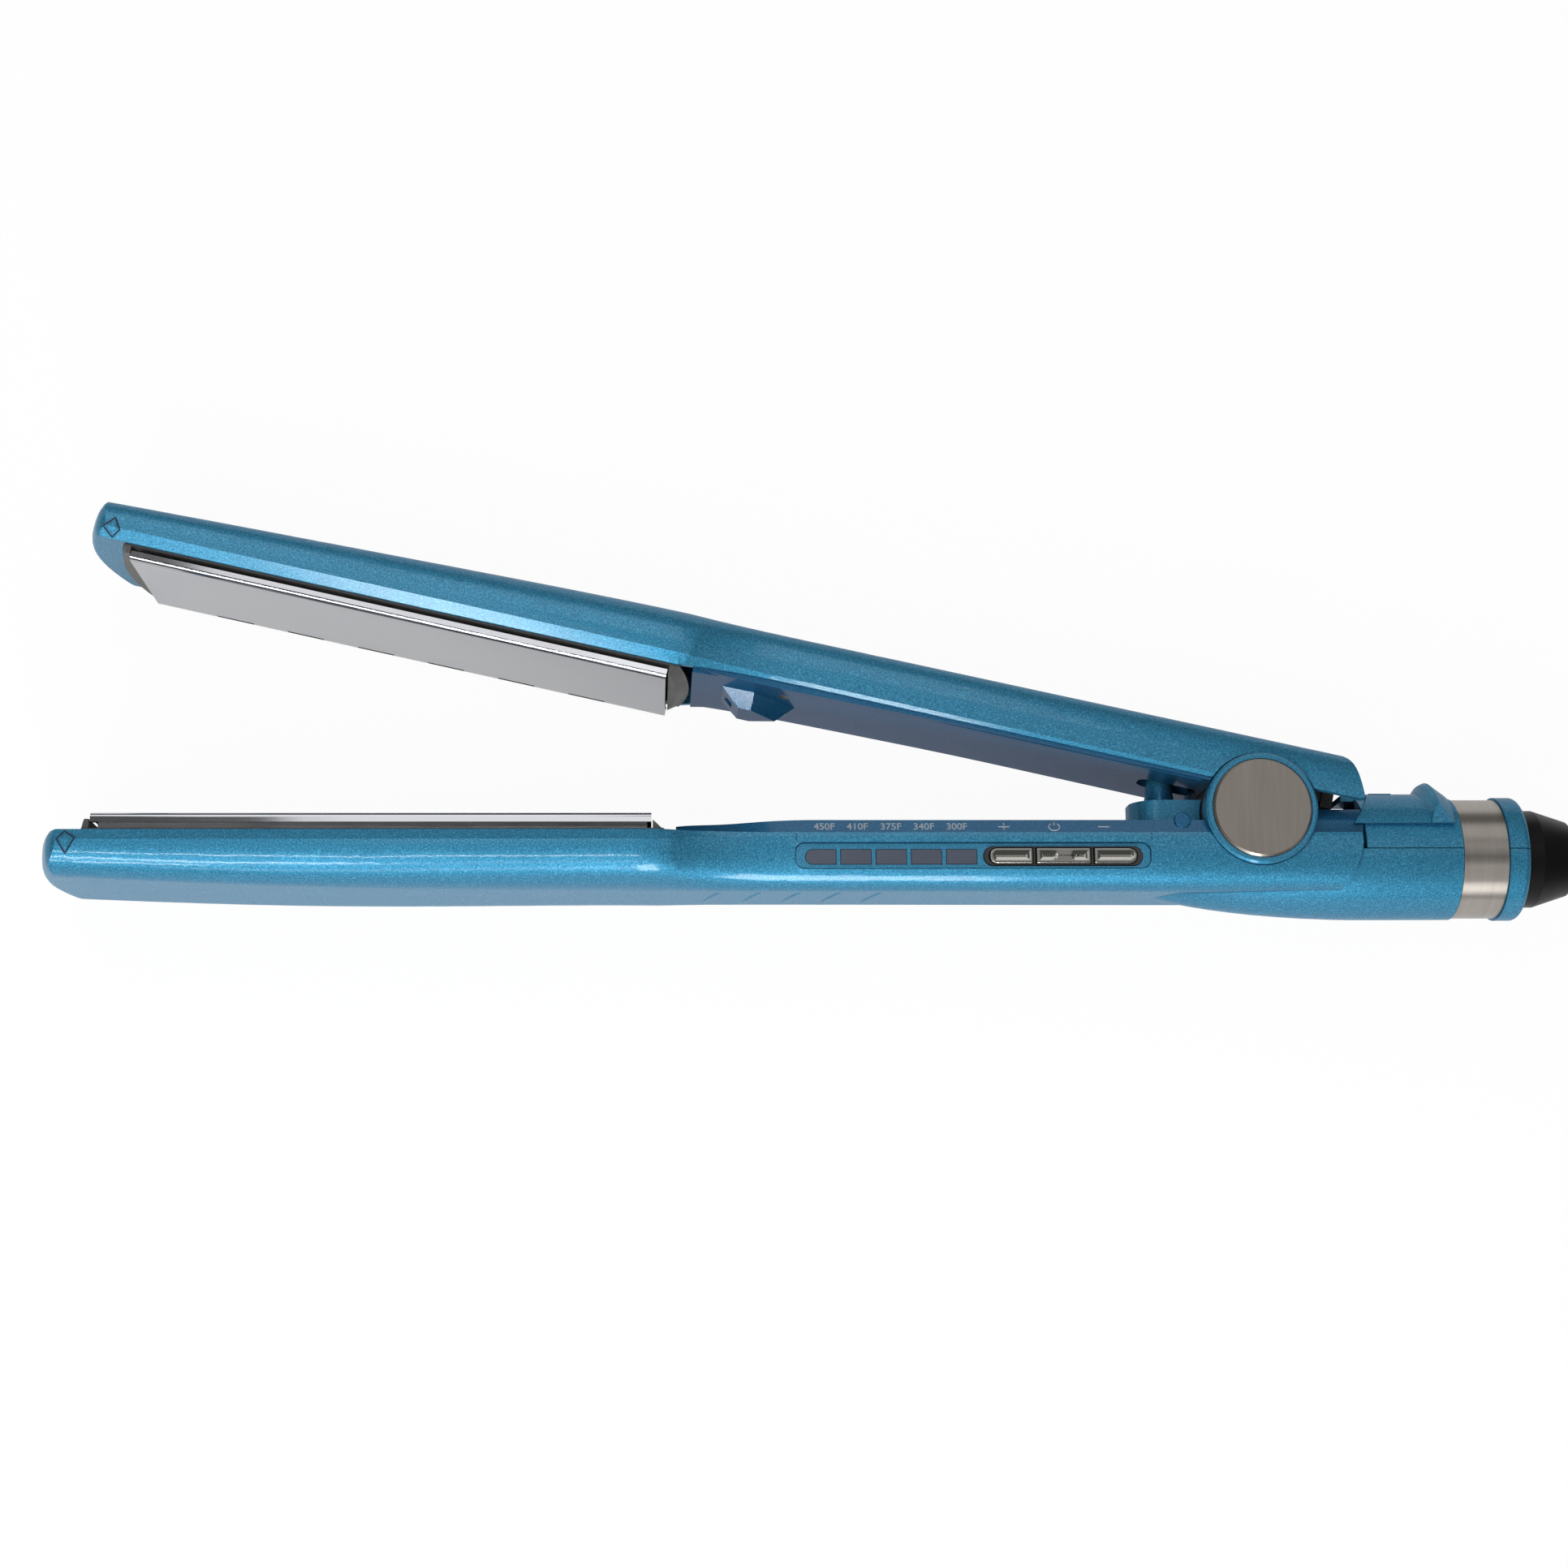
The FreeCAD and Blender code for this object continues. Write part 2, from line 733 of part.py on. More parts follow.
def plate_frame(side, rim):
    """Charcoal frame: a tray in the bay, thin rails on the rim and raised bowed ends."""
    face = plate_face(side)
    rim_y = rim(bay_rear_x)
    end_y = face + side * frame_end_drop
    ends = Part.makeLoft([frame_plan(rim_y), frame_plan(end_y, 1.0)], True, True)
    window = layer(side, plate_front() - piece_gap, plate_rear_x + piece_gap, -2, 20,
                   bay_wide_half + 5)
    rails = Part.Face(frame_plan(rim_y)).extrude(V(0, -side * frame_rail_height, 0))
    base_y = rim_y + side * frame_base_depth
    low, high = sorted((rim_y, base_y))
    base_half = bay_rim_half - wall - panel_gap
    tray = box(frame_front_x + frame_front_bulge + 1, frame_rear_x - frame_rear_bulge - 1, low, high,
               -base_half, base_half)
    frame = ends.cut(window).fuse(rails).fuse(tray)
    room = layer(side, plate_front() - piece_gap, plate_rear_x + piece_gap, -2,
                 abs(base_y - face) - frame_floor, carrier_width / 2 + frame_side_gap)
    return frame.cut(room)


def disc_spring(height, x, y, z):
    """Pair of cupped spring washers, rim to rim, that stands along Y."""
    inner = float_spring_radius * 0.45
    middle = inner + float_spring_wall
    points = [V(inner, 0, 0), V(middle, 0, 0), V(float_spring_radius, height / 2, 0),
              V(middle, height, 0), V(inner, height, 0),
              V(float_spring_radius - float_spring_wall, height / 2, 0)]
    face = Part.Face(Part.makePolygon(points + [points[0]]))
    return face.revolve(V(0, 0, 0), V(0, 1, 0), 360).translated(V(x, y, z))


def float_springs(side, rim):
    """Spring washers between a frame's floor and the plate's carrier."""
    floor = rim(bay_rear_x) + side * (frame_base_depth - frame_floor)
    seat = plate_face(side) + side * (plate_thickness + carrier_height)
    height = abs(floor - seat) - 2 * running_fit
    low = min(floor, seat) + running_fit
    springs = []
    for share in (0.15, 0.5, 0.85):
        for z in (-float_spring_z, float_spring_z):
            x = plate_front() + plate_length * share
            springs.append(disc_spring(height, x, low, z))
    return Part.makeCompound(springs)


def rounded_bar(x0, x1, y0, y1, z0, z1, front_round, rear_round):
    """Bar along X whose ends may be half round."""
    bar = box(x0, x1, y0, y1, z0, z1)
    radius = (y1 - y0) / 2 - 0.05
    corners = []
    for edge in bar.Edges:
        upright = abs(edge.tangentAt(edge.FirstParameter).z) > 0.99
        x = edge.Vertexes[0].Point.x
        if upright and ((front_round and abs(x - x0) < 0.01) or (rear_round and abs(x - x1) < 0.01)):
            corners.append(edge)
    return bar.makeFillet(radius, corners) if corners else bar


def window_bar(index, grow, z0, z1):
    x = window_first_x + index * window_pitch
    return rounded_bar(x - grow, x + window_length + grow, window_foot_y - grow,
                       window_top_y + grow, z0, z1, index == 0, False)


def button_bar(name, grow, z0, z1):
    ends = {"plus": (plus_front_x, plus_rear_x), "power": (power_front_x, power_rear_x),
            "minus": (minus_front_x, minus_rear_x)}
    front, rear = ends[name]
    return rounded_bar(front - grow, rear + grow, button_foot_y - grow, button_top_y + grow,
                       z0, z1, name == "plus", name == "minus")


def surround_block(margin, z0, z1):
    return rounded_bar(surround_front_x - margin, surround_rear_x + margin,
                       surround_foot_y - margin, surround_top_y + margin, z0, z1, True, True)


def control_panel():
    """Inset panel with openings for the windows and buttons and posts for the board."""
    back = panel_face_z - panel_thickness
    plate = panel_pocket(-panel_gap)
    plate = plate.common(box(-200, 0, -40, 40, back, panel_face_z))
    for index in range(window_count):
        plate = plate.cut(window_bar(index, panel_gap, back - 1, panel_face_z + 1))
    plate = plate.cut(surround_block(panel_gap, back - 1, panel_face_z + 1))
    post_y = (panel_top_y + panel_foot_y) / 2
    for x in (panel_front_x + post_margin, surround_front_x - post_margin,
              panel_rear_x - post_margin * 0.6):
        for y in (panel_top_y - post_margin * 0.6, panel_foot_y + post_margin * 0.6):
            if abs(y - post_y) > 1:
                plate = plate.fuse(disc(post_radius, board_face_z, back, x, y))
    return plate


def led_windows():
    """Smoked windows that stand a little proud of the panel."""
    back = panel_face_z - panel_thickness
    bars = [window_bar(i, 0, back, panel_face_z + window_proud) for i in range(window_count)]
    return Part.makeCompound(bars)


def window_middles():
    first = window_first_x + window_length / 2
    return [first + i * window_pitch for i in range(window_count)]


def leds():
    """One light on the board behind each window."""
    y = (window_top_y + window_foot_y) / 2
    lights = []
    for x in window_middles():
        base = box(x - led_size / 2, x + led_size / 2, y - led_size / 2, y + led_size / 2,
                   board_face_z, board_face_z + led_height)
        lights.append(base)
    return Part.makeCompound(lights)


def button_surround():
    """Black frame with one opening for each button."""
    back = panel_face_z - panel_thickness
    frame = surround_block(0, back, panel_face_z + surround_proud)
    for name in ("plus", "power", "minus"):
        frame = frame.cut(button_bar(name, panel_gap, back - 1, panel_face_z + 2))
    return frame


def button_middle(name):
    bar = button_bar(name, 0, 0, 1).BoundBox
    return (bar.XMin + bar.XMax) / 2, (bar.YMin + bar.YMax) / 2


def button(name):
    """Chrome key with rounded rim, and a stem that presses its switch."""
    top = panel_face_z + button_proud
    key = button_bar(name, 0, top - button_thickness, top)
    rim = []
    for edge in key.Edges:
        if min(v.Point.z for v in edge.Vertexes) > top - 0.01:
            rim.append(edge)
    key = key.makeChamfer(button_edge, rim)
    x, y = button_middle(name)
    stem_foot = board_face_z + switch_height + button_travel + press_gap
    return key.fuse(disc(button_stem_radius, stem_foot, top - button_thickness, x, y))


def tact_switches():
    switches = []
    for name in ("plus", "power", "minus"):
        x, y = button_middle(name)
        half = switch_size / 2
        body_top = board_face_z + switch_height - switch_plunger
        body = box(x - half, x + half, y - half, y + half, board_face_z, body_top)
        plunger = disc(button_stem_radius, body_top, body_top + switch_plunger, x, y)
        switches.append(body.fuse(plunger))
    return Part.makeCompound(switches)


def circuit_board():
    return box(panel_front_x + board_margin, panel_rear_x - board_margin,
               panel_foot_y + board_margin, panel_top_y - board_margin / 2,
               board_face_z - board_thickness, board_face_z)


def hinge_ring():
    """Raised ring on the side of the lower arm, with a seat for the hinge disc."""
    ring = disc(ring_radius, ring_inner_z, ring_outer_z)
    rim = [e for e in ring.Edges if e.Vertexes[0].Point.z > ring_outer_z - 0.01 and len(e.Vertexes) == 1]
    ring = ring.makeChamfer(ring_edge, rim)
    ring = ring.cut(disc(disc_radius + panel_gap, ring_seat_z, ring_outer_z + 1))
    ring = ring.cut(disc(pin_radius + press_gap, ring_inner_z - 1, ring_seat_z + 1))
    seat = disc(washer_radius + press_gap, ring_inner_z - 1, ring_inner_z + washer_thickness
                - washer_proud)
    return ring.cut(seat)


def hinge_disc():
    """Bare pewter disc with a soft edge."""
    plate = disc(disc_radius, ring_seat_z, disc_face_z)
    rim = [e for e in plate.Edges if e.Vertexes[0].Point.z > disc_face_z - 0.01
           and len(e.Vertexes) == 1]
    return plate.makeChamfer(disc_edge, rim)


def hinge_washers():
    top = ring_inner_z + washer_thickness - washer_proud
    washer = disc(washer_radius, top - washer_thickness, top)
    washer = washer.cut(disc(pin_radius + running_fit, 0, ring_outer_z))
    return Part.makeCompound([washer, mirrored(washer)])


def hinge_pin():
    return disc(pin_radius, -ring_seat_z + press_gap, ring_seat_z - press_gap)


def spiral_side(offset):
    """Half circles of the hinge spring, each a little wider than the one before."""
    arcs = []
    for turn in range(spring_half_turns):
        up = turn % 2 == 0
        centre = 0.0 if up else spring_pitch / 2
        radius = spring_inner_radius + turn * spring_pitch / 2 + offset
        start = V(centre + radius if up else centre - radius, 0, -spring_half)
        middle = V(centre, radius if up else -radius, -spring_half)
        end = V(centre - radius if up else centre + radius, 0, -spring_half)
        arcs.append(Part.Arc(start, middle, end).toShape())
    return arcs, arcs[0].Vertexes[0].Point, end


def hinge_spring():
    """Flat strip wound in a spiral round the pin, inside the knuckle."""
    inner, inner_start, inner_end = spiral_side(-spring_strip / 2)
    outer, outer_start, outer_end = spiral_side(spring_strip / 2)
    ends = [Part.makeLine(inner_start, outer_start), Part.makeLine(inner_end, outer_end)]
    wire = Part.Wire(Part.__sortEdges__(inner + outer + ends))
    return Part.Face(wire).extrude(V(0, 0, 2 * spring_half))


def lead_duct():
    """Block in front of the hinge with a tapered neck that carries the leads across."""
    block = box(block_front_x, block_rear_x, block_foot_y, block_top_y, -block_half, block_half)
    corners = [e for e in block.Edges if abs(e.tangentAt(e.FirstParameter).y) > 0.99
               and e.Vertexes[0].Point.x < block_front_x + 0.01]
    block = block.makeFillet(block_round, corners)
    neck = Part.makeCone(neck_foot_radius, neck_top_radius, neck_top_y - block_top_y,
                         V(neck_x, block_top_y, 0), V(0, 1, 0))
    duct = block.fuse(neck)
    bore = post(neck_bore_radius, block_foot_y - 1, neck_top_y + 1, neck_x, 0)
    knuckle = disc(knuckle_radius + piece_gap, -knuckle_half - 1, knuckle_half + 1)
    return duct.cut(bore).cut(knuckle)


def lock_bed():
    """Dark block between the ears, behind the knuckle, under the slider's tongue."""
    half = ring_inner_z - panel_gap
    rear_x = top_cover_front_x - piece_gap
    bed = box(bed_front_x, rear_x, barrel_axis_y, bed_top_y, -half, half)
    bed = bed.common(rod(barrel_radius, bed_front_x, rear_x, barrel_axis_y, 0))
    return bed.cut(disc(knuckle_radius + piece_gap, -20, 20))


def slider_slot(margin=0.0):
    """Room in the barrel's top for the slider's tongue block over its travel."""
    rear = tongue_root_rear_x + margin
    return box(0, rear, 0, 20, -tongue_half - piece_gap, tongue_half + piece_gap)


def barrel_top_cover():
    """Upper half of the barrel, with the slider's slot and a spigot under the band."""
    solid = rod(barrel_radius, top_cover_front_x, band_front_x, barrel_axis_y, 0)
    spigot_radius = band_radius - band_thickness - press_gap
    solid = solid.fuse(rod(spigot_radius, band_front_x - 1, band_rear_x, barrel_axis_y, 0))
    above = box(0, cap_rear_x, barrel_axis_y + parting_gap, 20, -20, 20)
    solid = solid.common(above)
    bore = rod(barrel_radius - barrel_wall, 0, band_front_x - 3, barrel_axis_y, 0)
    bore = bore.fuse(rod(spigot_radius - barrel_wall, 0, cap_rear_x, barrel_axis_y, 0))
    return solid.cut(bore).cut(slider_slot())


def steel_band():
    outer = rod(band_radius, band_front_x + press_gap, band_rear_x - press_gap, barrel_axis_y, 0)
    rims = [e for e in outer.Edges if len(e.Vertexes) == 1]
    outer = outer.makeChamfer(band_edge, rims)
    return outer.cut(rod(band_radius - band_thickness, 0, cap_rear_x, barrel_axis_y, 0))


def rear_cap(side):
    """Half of the rear collar: a rounded shell that traps the gland's flange."""
    cap = rod(cap_radius, band_rear_x, cap_rear_x, barrel_axis_y, 0)
    rim = [e for e in cap.Edges if len(e.Vertexes) == 1
           and e.Vertexes[0].Point.x > cap_rear_x - 0.01]
    cap = cap.makeFillet(cap_edge, rim)
    room = rod(gland_flange_radius + piece_gap, band_rear_x - 1,
               cap_rear_x - cap_end_wall, barrel_axis_y, 0)
    opening = rod(cap_opening_radius, 0, cap_rear_x + 1, barrel_axis_y, 0)
    parting = barrel_axis_y + side * parting_gap / 2
    half = box(0, 100, min(parting, parting + side * 40), max(parting, parting + side * 40),
               -20, 20)
    return cap.cut(room).cut(opening).common(half)


def swivel_gland():
    """Black gland that turns in the rear collar, bored for the cord."""
    flange_rear = cap_rear_x - cap_end_wall - piece_gap
    points = [(flange_rear - gland_flange_width, 0),
              (flange_rear - gland_flange_width, gland_flange_radius),
              (flange_rear, gland_flange_radius), (flange_rear, gland_neck_radius),
              (cap_rear_x + piece_gap, gland_neck_radius),
              (cap_rear_x + piece_gap, gland_body_radius),
              (cap_rear_x + 4.0, gland_body_radius), (gland_step_x - 0.5, gland_step_radius),
              (gland_step_x, gland_tail_radius), (gland_rear_x - 1.5, gland_end_radius + 0.6),
              (gland_rear_x, gland_end_radius - 0.6), (gland_rear_x, 0)]
    gland = spindle(points, barrel_axis_y)
    return gland.cut(rod(cord_bore_radius, gland_rear_x - cord_bore_length, gland_rear_x + 1,
                         barrel_axis_y, 0))


def contact_plate():
    """Fixed disc with three sprung contacts that feeds the turning gland."""
    rear = cap_rear_x - cap_end_wall - 2 * piece_gap - gland_flange_width
    plate = rod(band_radius - band_thickness - barrel_wall - press_gap * 2, rear - 2.6, rear - 1.0,
                barrel_axis_y, 0)
    for z in (-5.0, 0.0, 5.0):
        plate = plate.fuse(rod(0.9, rear - 1.5, rear, barrel_axis_y, z))
    return plate


def lock_slider():
    """Saddle on the barrel with a thumb ridge, and a tongue that reaches forward."""
    inner_radius = barrel_radius + panel_gap
    outer_radius = inner_radius + slider_skin
    crest_radius = slider_ridge_top_y - barrel_axis_y
    ridge_front_x = slider_ridge_x - slider_ridge_width / 2
    crest_x = slider_ridge_x - slider_ridge_width / 8
    outline = [(slider_front_x, inner_radius), (slider_front_x, outer_radius),
               (ridge_front_x, outer_radius), (crest_x - slider_ridge_width / 6, crest_radius - 0.5),
               (crest_x, crest_radius), (crest_x + slider_ridge_width / 6, crest_radius - 0.7),
               (slider_rear_x, outer_radius), (slider_rear_x, inner_radius)]
    saddle = spindle(outline, barrel_axis_y)
    foot_y = barrel_axis_y + math.sqrt(outer_radius ** 2 - slider_half ** 2)
    top_y = barrel_axis_y + crest_radius + 1
    lean = slider_slant / (barrel_axis_y + outer_radius - foot_y)
    front_top_x = slider_front_x + lean * (top_y - foot_y)
    side_z = slider_half + slider_skin / 2
    reach = prism([V(slider_front_x, foot_y, -side_z), V(slider_rear_x, foot_y, -side_z),
                   V(slider_rear_x, top_y, -side_z), V(front_top_x, top_y, -side_z)],
                  V(0, 0, 2 * side_z))
    saddle = saddle.common(reach)
    root_rear = tongue_root_rear_x - piece_gap
    root_front = slider_front_x + slider_slant
    tongue = box(tongue_tip_x, root_rear, tongue_top_y - tongue_thickness, tongue_top_y,
                 -tongue_half, tongue_half)
    root = box(root_front, root_rear, tongue_top_y - tongue_thickness,
               barrel_axis_y + outer_radius - slider_skin / 2, -tongue_half, tongue_half)
    return saddle.fuse(tongue).fuse(root)


def lower_screw_places():
    return [(front_screw_x, -screw_z), (rear_screw_x, -screw_z)]


def lower_screw_y():
    """Height of the lower screws' heads, at the crown over the screws."""
    share = (screw_z + screw_head_radius) / cover_crest_half
    return crest(front_screw_x) + cover_crown * (1 - share * share)


def lower_cover_screws():
    return screws_at(lower_screw_places(), lower_screw_y(), -1)


def lower_leads():
    """Two leads along the lower arm's floor, from the plate bay to the barrel."""
    front = frame_rear_x - 2
    leads = [rod(lead_radius, front, -pin_radius, lead_y, z) for z in (-lead_spread, 0)]
    return Part.makeCompound(leads)


def supply_leads():
    """Three leads in the barrel that end at the contact plate."""
    rear = cap_rear_x - cap_end_wall - 2 * piece_gap - gland_flange_width - 2.6 - press_gap
    leads = [rod(lead_radius, barrel_full_x - 16, rear, barrel_axis_y - 6, z)
             for z in (-lead_spread * 2, 0, lead_spread * 2)]
    return Part.makeCompound(leads)


def upper_face(x):
    """Height of the upper inner cover, which climbs a little towards the hinge."""
    return ease(x, cover_front_x - 5, upper_face_rise_x, upper_face_front_y, upper_face_y)


def upper_cover_section(x):
    half = rim_half(x) - upper_cover_step
    low = upper_face(x)
    high = upper_rim(x)
    points = [V(x, low, -half), V(x, low, half), V(x, high, half), V(x, high, -half)]
    return Part.makePolygon(points + [points[0]])


def duct_recess():
    """Slot in the upper arm that the lead duct's neck enters as the iron closes."""
    swing = neck_top_y * math.sin(math.radians(open_angle))
    front = neck_x - swing - neck_foot_radius - piece_gap * 2
    rear = cover_rear_x + cut_margin
    half = neck_foot_radius + piece_gap
    slot = box(front, rear, upper_face_y - 3, upper_outer_y - wall, -half, half)
    corners = [e for e in slot.Edges if abs(e.tangentAt(e.FirstParameter).y) > 0.99]
    return slot.makeFillet(half - cut_margin, corners)


def upper_inner_cover():
    """Flat inner face of the upper handle, with the guide lug and the duct's recess."""
    places = stations(cover_front_x, cover_end_x, cover_pitch)
    cap = Part.makeLoft([upper_cover_section(x) for x in places], True, False)
    inner = arm_solid(nose_x, cover_rear_x, 1, upper_rim, upper_outer, wall + panel_gap)
    lip = box(cover_front_x, cover_rear_x, upper_seam_y - 3, upper_seam_y + cover_lip_depth, -30, 30)
    cover = cap.fuse(inner.common(lip)).fuse(guide_lug())
    knuckle = disc(knuckle_radius + panel_gap, -ring_outer_z, ring_outer_z)
    rings = both_sides(disc(ring_radius + piece_gap, knuckle_half, ring_outer_z + cut_margin))
    cover = cover.cut(duct_recess()).cut(knuckle).cut(rings)
    return cover.cut(screw_holes(upper_screw_places(), upper_face(front_screw_x), 1))


def upper_screw_places():
    return [(front_screw_x, -screw_z), (front_screw_x, screw_z)]


def upper_cover_screws():
    return screws_at(upper_screw_places(), upper_face(front_screw_x), 1)


def tail_outline():
    """Region that the upper shell leaves free behind the hinge."""
    z = -30.0
    top = upper_outer_y + 4
    far_x = cap_rear_x
    start = V(tail_round_x, upper_outer(tail_round_x), z)
    corner = V(tail_corner_x, tail_corner_y, z)
    foot = V(tail_foot_x - 1, tail_foot_y, z)
    edges = [
        Part.makeLine(V(tail_round_x, top, z), start),
        bezier([start, V(tail_top_x, start.y, z), V(tail_top_x + 1.2, tail_top_y, z), corner]),
        bezier([corner, V(tail_corner_x + 0.7, tail_foot_y, z), foot]),
        Part.makeLine(foot, V(0, tail_foot_y, z)),
        Part.makeLine(V(0, tail_foot_y, z), V(0, -30, z)),
        Part.makeLine(V(0, -30, z), V(far_x, -30, z)),
        Part.makeLine(V(far_x, -30, z), V(far_x, top, z)),
        Part.makeLine(V(far_x, top, z), V(tail_round_x, top, z)),
    ]
    return Part.Face(Part.Wire(edges)).extrude(V(0, 0, 60))


def upper_outer_shell():
    outer = arm_solid(nose_x - 2, tail_corner_x + 4, 1, upper_rim, upper_outer)
    outer = outer.common(nose_prism(1, upper_rim(nose_x), upper_outer(nose_x)))
    inner = arm_solid(nose_x - 2, tail_corner_x + 6, 1, upper_rim, upper_outer, wall)
    inner = inner.common(bay_prism())
    shell = outer.cut(inner).cut(tail_outline())
    ring = disc(ring_radius + piece_gap, -30, 30)
    return shell.cut(ring)


def upper_roof_y():
    """Inner height of the upper shell over the hinge, less a fit."""
    return upper_outer(-knuckle_radius) - wall - panel_gap


def hinge_knuckle():
    """Barrel on the hinge pin, with a block that fastens it under the upper shell."""
    knuckle = disc(knuckle_radius, -knuckle_half, knuckle_half)
    block = box(-knuckle_block_half, knuckle_block_half, 0, upper_roof_y(), -knuckle_half,
                knuckle_half)
    room_radius = spring_inner_radius + spring_half_turns * spring_pitch / 2 + spring_strip
    room = disc(room_radius + piece_gap, -spring_half - piece_gap, spring_half + piece_gap)
    bore = disc(pin_radius + running_fit, -knuckle_half - 1, knuckle_half + 1)
    start = -knuckle_block_half - cut_margin
    inset = wall + panel_gap
    wires = [arm_section(x, 1, upper_rim, upper_outer, inset) for x in (start, 0, -start)]
    cavity = Part.makeLoft(wires, True, False)
    below = box(start, -start, 0, upper_seam_y, -knuckle_half, knuckle_half)
    return knuckle.fuse(block.common(cavity.fuse(below))).cut(room).cut(bore)


def lock_catch():
    """Ledge inside the tail, hung on two webs, that the slider's tongue goes under."""
    foot = tongue_top_y + piece_gap
    ledge = box(catch_front_x, catch_rear_x, foot, foot + catch_thickness, -catch_half, catch_half)
    web = box(catch_front_x, catch_rear_x, foot, upper_roof_y() - panel_gap,
              catch_half - catch_web, catch_half)
    return ledge.fuse(both_sides(web))


def upper_leads():
    """Two leads that lie on the upper inner cover, from the plate bay to the recess."""
    y = upper_seam_y + cover_lip_depth + lead_radius + panel_gap
    rear = neck_x - neck_foot_radius * 2
    leads = [rod(lead_radius, frame_rear_x, rear, y, z) for z in (-lead_spread, lead_spread)]
    return Part.makeCompound(leads)


def lower_pieces():
    """Pieces that stay with the lower arm, and those that move on it."""
    return {
        "lower_outer_shell": lower_outer_shell(),
        "lower_inner_cover": lower_inner_cover(),
        "lower_plate_frame": plate_frame(-1, lower_rim),
        "lower_plate": hair_plate(-1),
        "lower_plate_carrier": carrier(-1),
        "lower_heater": heater(-1),
        "lower_thermistor": thermistor(-1),
        "lower_float_springs": float_springs(-1, lower_rim),
        "lower_cover_screws": lower_cover_screws(),
        "lower_leads": lower_leads(),
        "control_panel": control_panel(),
        "led_windows": led_windows(),
        "leds": leds(),
        "button_surround": button_surround(),
        "button_plus": button("plus"),
        "button_power": button("power"),
        "button_minus": button("minus"),
        "circuit_board": circuit_board(),
        "tact_switches": tact_switches(),
        "hinge_ring_near": hinge_ring(),
        "hinge_ring_far": mirrored(hinge_ring()),
        "hinge_disc_near": hinge_disc(),
        "hinge_disc_far": mirrored(hinge_disc()),
        "hinge_pin": hinge_pin(),
        "hinge_washers": hinge_washers(),
        "hinge_spring": hinge_spring(),
        "lead_duct": lead_duct(),
        "barrel_top_cover": barrel_top_cover(),
        "steel_band": steel_band(),
        "rear_cap_lower": rear_cap(-1),
        "rear_cap_upper": rear_cap(1),
        "lock_bed": lock_bed(),
        "lock_slider": lock_slider(),
        "swivel_gland": swivel_gland(),
        "contact_plate": contact_plate(),
        "supply_leads": supply_leads(),
    }


def upper_pieces():
    """Pieces that swing with the upper arm, drawn with the iron closed."""
    return {
        "upper_outer_shell": upper_outer_shell(),
        "upper_inner_cover": upper_inner_cover(),
        "upper_plate_frame": plate_frame(1, upper_rim),
        "upper_plate": hair_plate(1),
        "upper_plate_carrier": carrier(1),
        "upper_heater": heater(1),
        "upper_thermistor": thermistor(1),
        "upper_float_springs": float_springs(1, upper_rim),
        "upper_cover_screws": upper_cover_screws(),
        "upper_leads": upper_leads(),
        "hinge_knuckle": hinge_knuckle(),
        "lock_catch": lock_catch(),
    }


def main():
    os.makedirs("parts", exist_ok=True)
    pieces = lower_pieces()
    for name, shape in upper_pieces().items():
        pieces[name] = shape.rotated(V(0, 0, 0), V(0, 0, 1), -open_angle)
    for name, shape in pieces.items():
        lifted = shape.translated(V(0, 0, disc_face_z))
        lifted.exportStep("parts/" + name + ".step")


if __name__ == "__main__":
    main()
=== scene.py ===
"""Looks of a hair straightening iron that lies on its far side, opened by its spring.

The hinge pin stands along Z, and the far hinge disc's face is at Z = 0. Places and sizes on the
part are in millimetres where a comment says so, and otherwise in metres.
"""

import json
import math

import bmesh
import bpy
from mathutils import Matrix, Quaternion, Vector
from mathutils.bvhtree import BVHTree

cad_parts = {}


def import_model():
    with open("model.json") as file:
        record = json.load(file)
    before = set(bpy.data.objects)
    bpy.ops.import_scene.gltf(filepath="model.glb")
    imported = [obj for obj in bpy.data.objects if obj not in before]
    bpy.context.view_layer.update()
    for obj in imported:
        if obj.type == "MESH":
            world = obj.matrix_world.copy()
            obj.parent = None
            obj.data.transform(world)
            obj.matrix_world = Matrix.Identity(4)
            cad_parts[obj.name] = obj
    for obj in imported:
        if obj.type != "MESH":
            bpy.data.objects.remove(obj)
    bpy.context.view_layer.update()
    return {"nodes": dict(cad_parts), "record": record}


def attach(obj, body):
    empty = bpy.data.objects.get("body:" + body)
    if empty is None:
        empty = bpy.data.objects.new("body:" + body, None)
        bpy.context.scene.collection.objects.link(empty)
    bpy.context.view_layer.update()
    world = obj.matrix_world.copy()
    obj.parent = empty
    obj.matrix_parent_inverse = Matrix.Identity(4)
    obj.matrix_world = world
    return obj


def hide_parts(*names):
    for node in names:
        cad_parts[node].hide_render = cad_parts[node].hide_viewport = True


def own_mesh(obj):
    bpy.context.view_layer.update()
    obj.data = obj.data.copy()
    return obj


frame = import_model()
slots = {row["node"]: row["material_slot"] for row in frame["record"]["subparts"]}

MM = 0.001
RIGHT = Vector((1, 0, 0))
INWARD = Vector((0, 1, 0))
DOWN = Vector((0, 0, -1))
RAY_START = 0.2

# Camera, from the photograph
CAMERA_PLACE = (-0.1414, -0.1208, 0.6324)
CAMERA_TURN = (11.951, -2.826, -0.574)
CAMERA_LENS = 61.23
CAMERA_SENSOR = 36.0
CAMERA_NEAR = 0.01

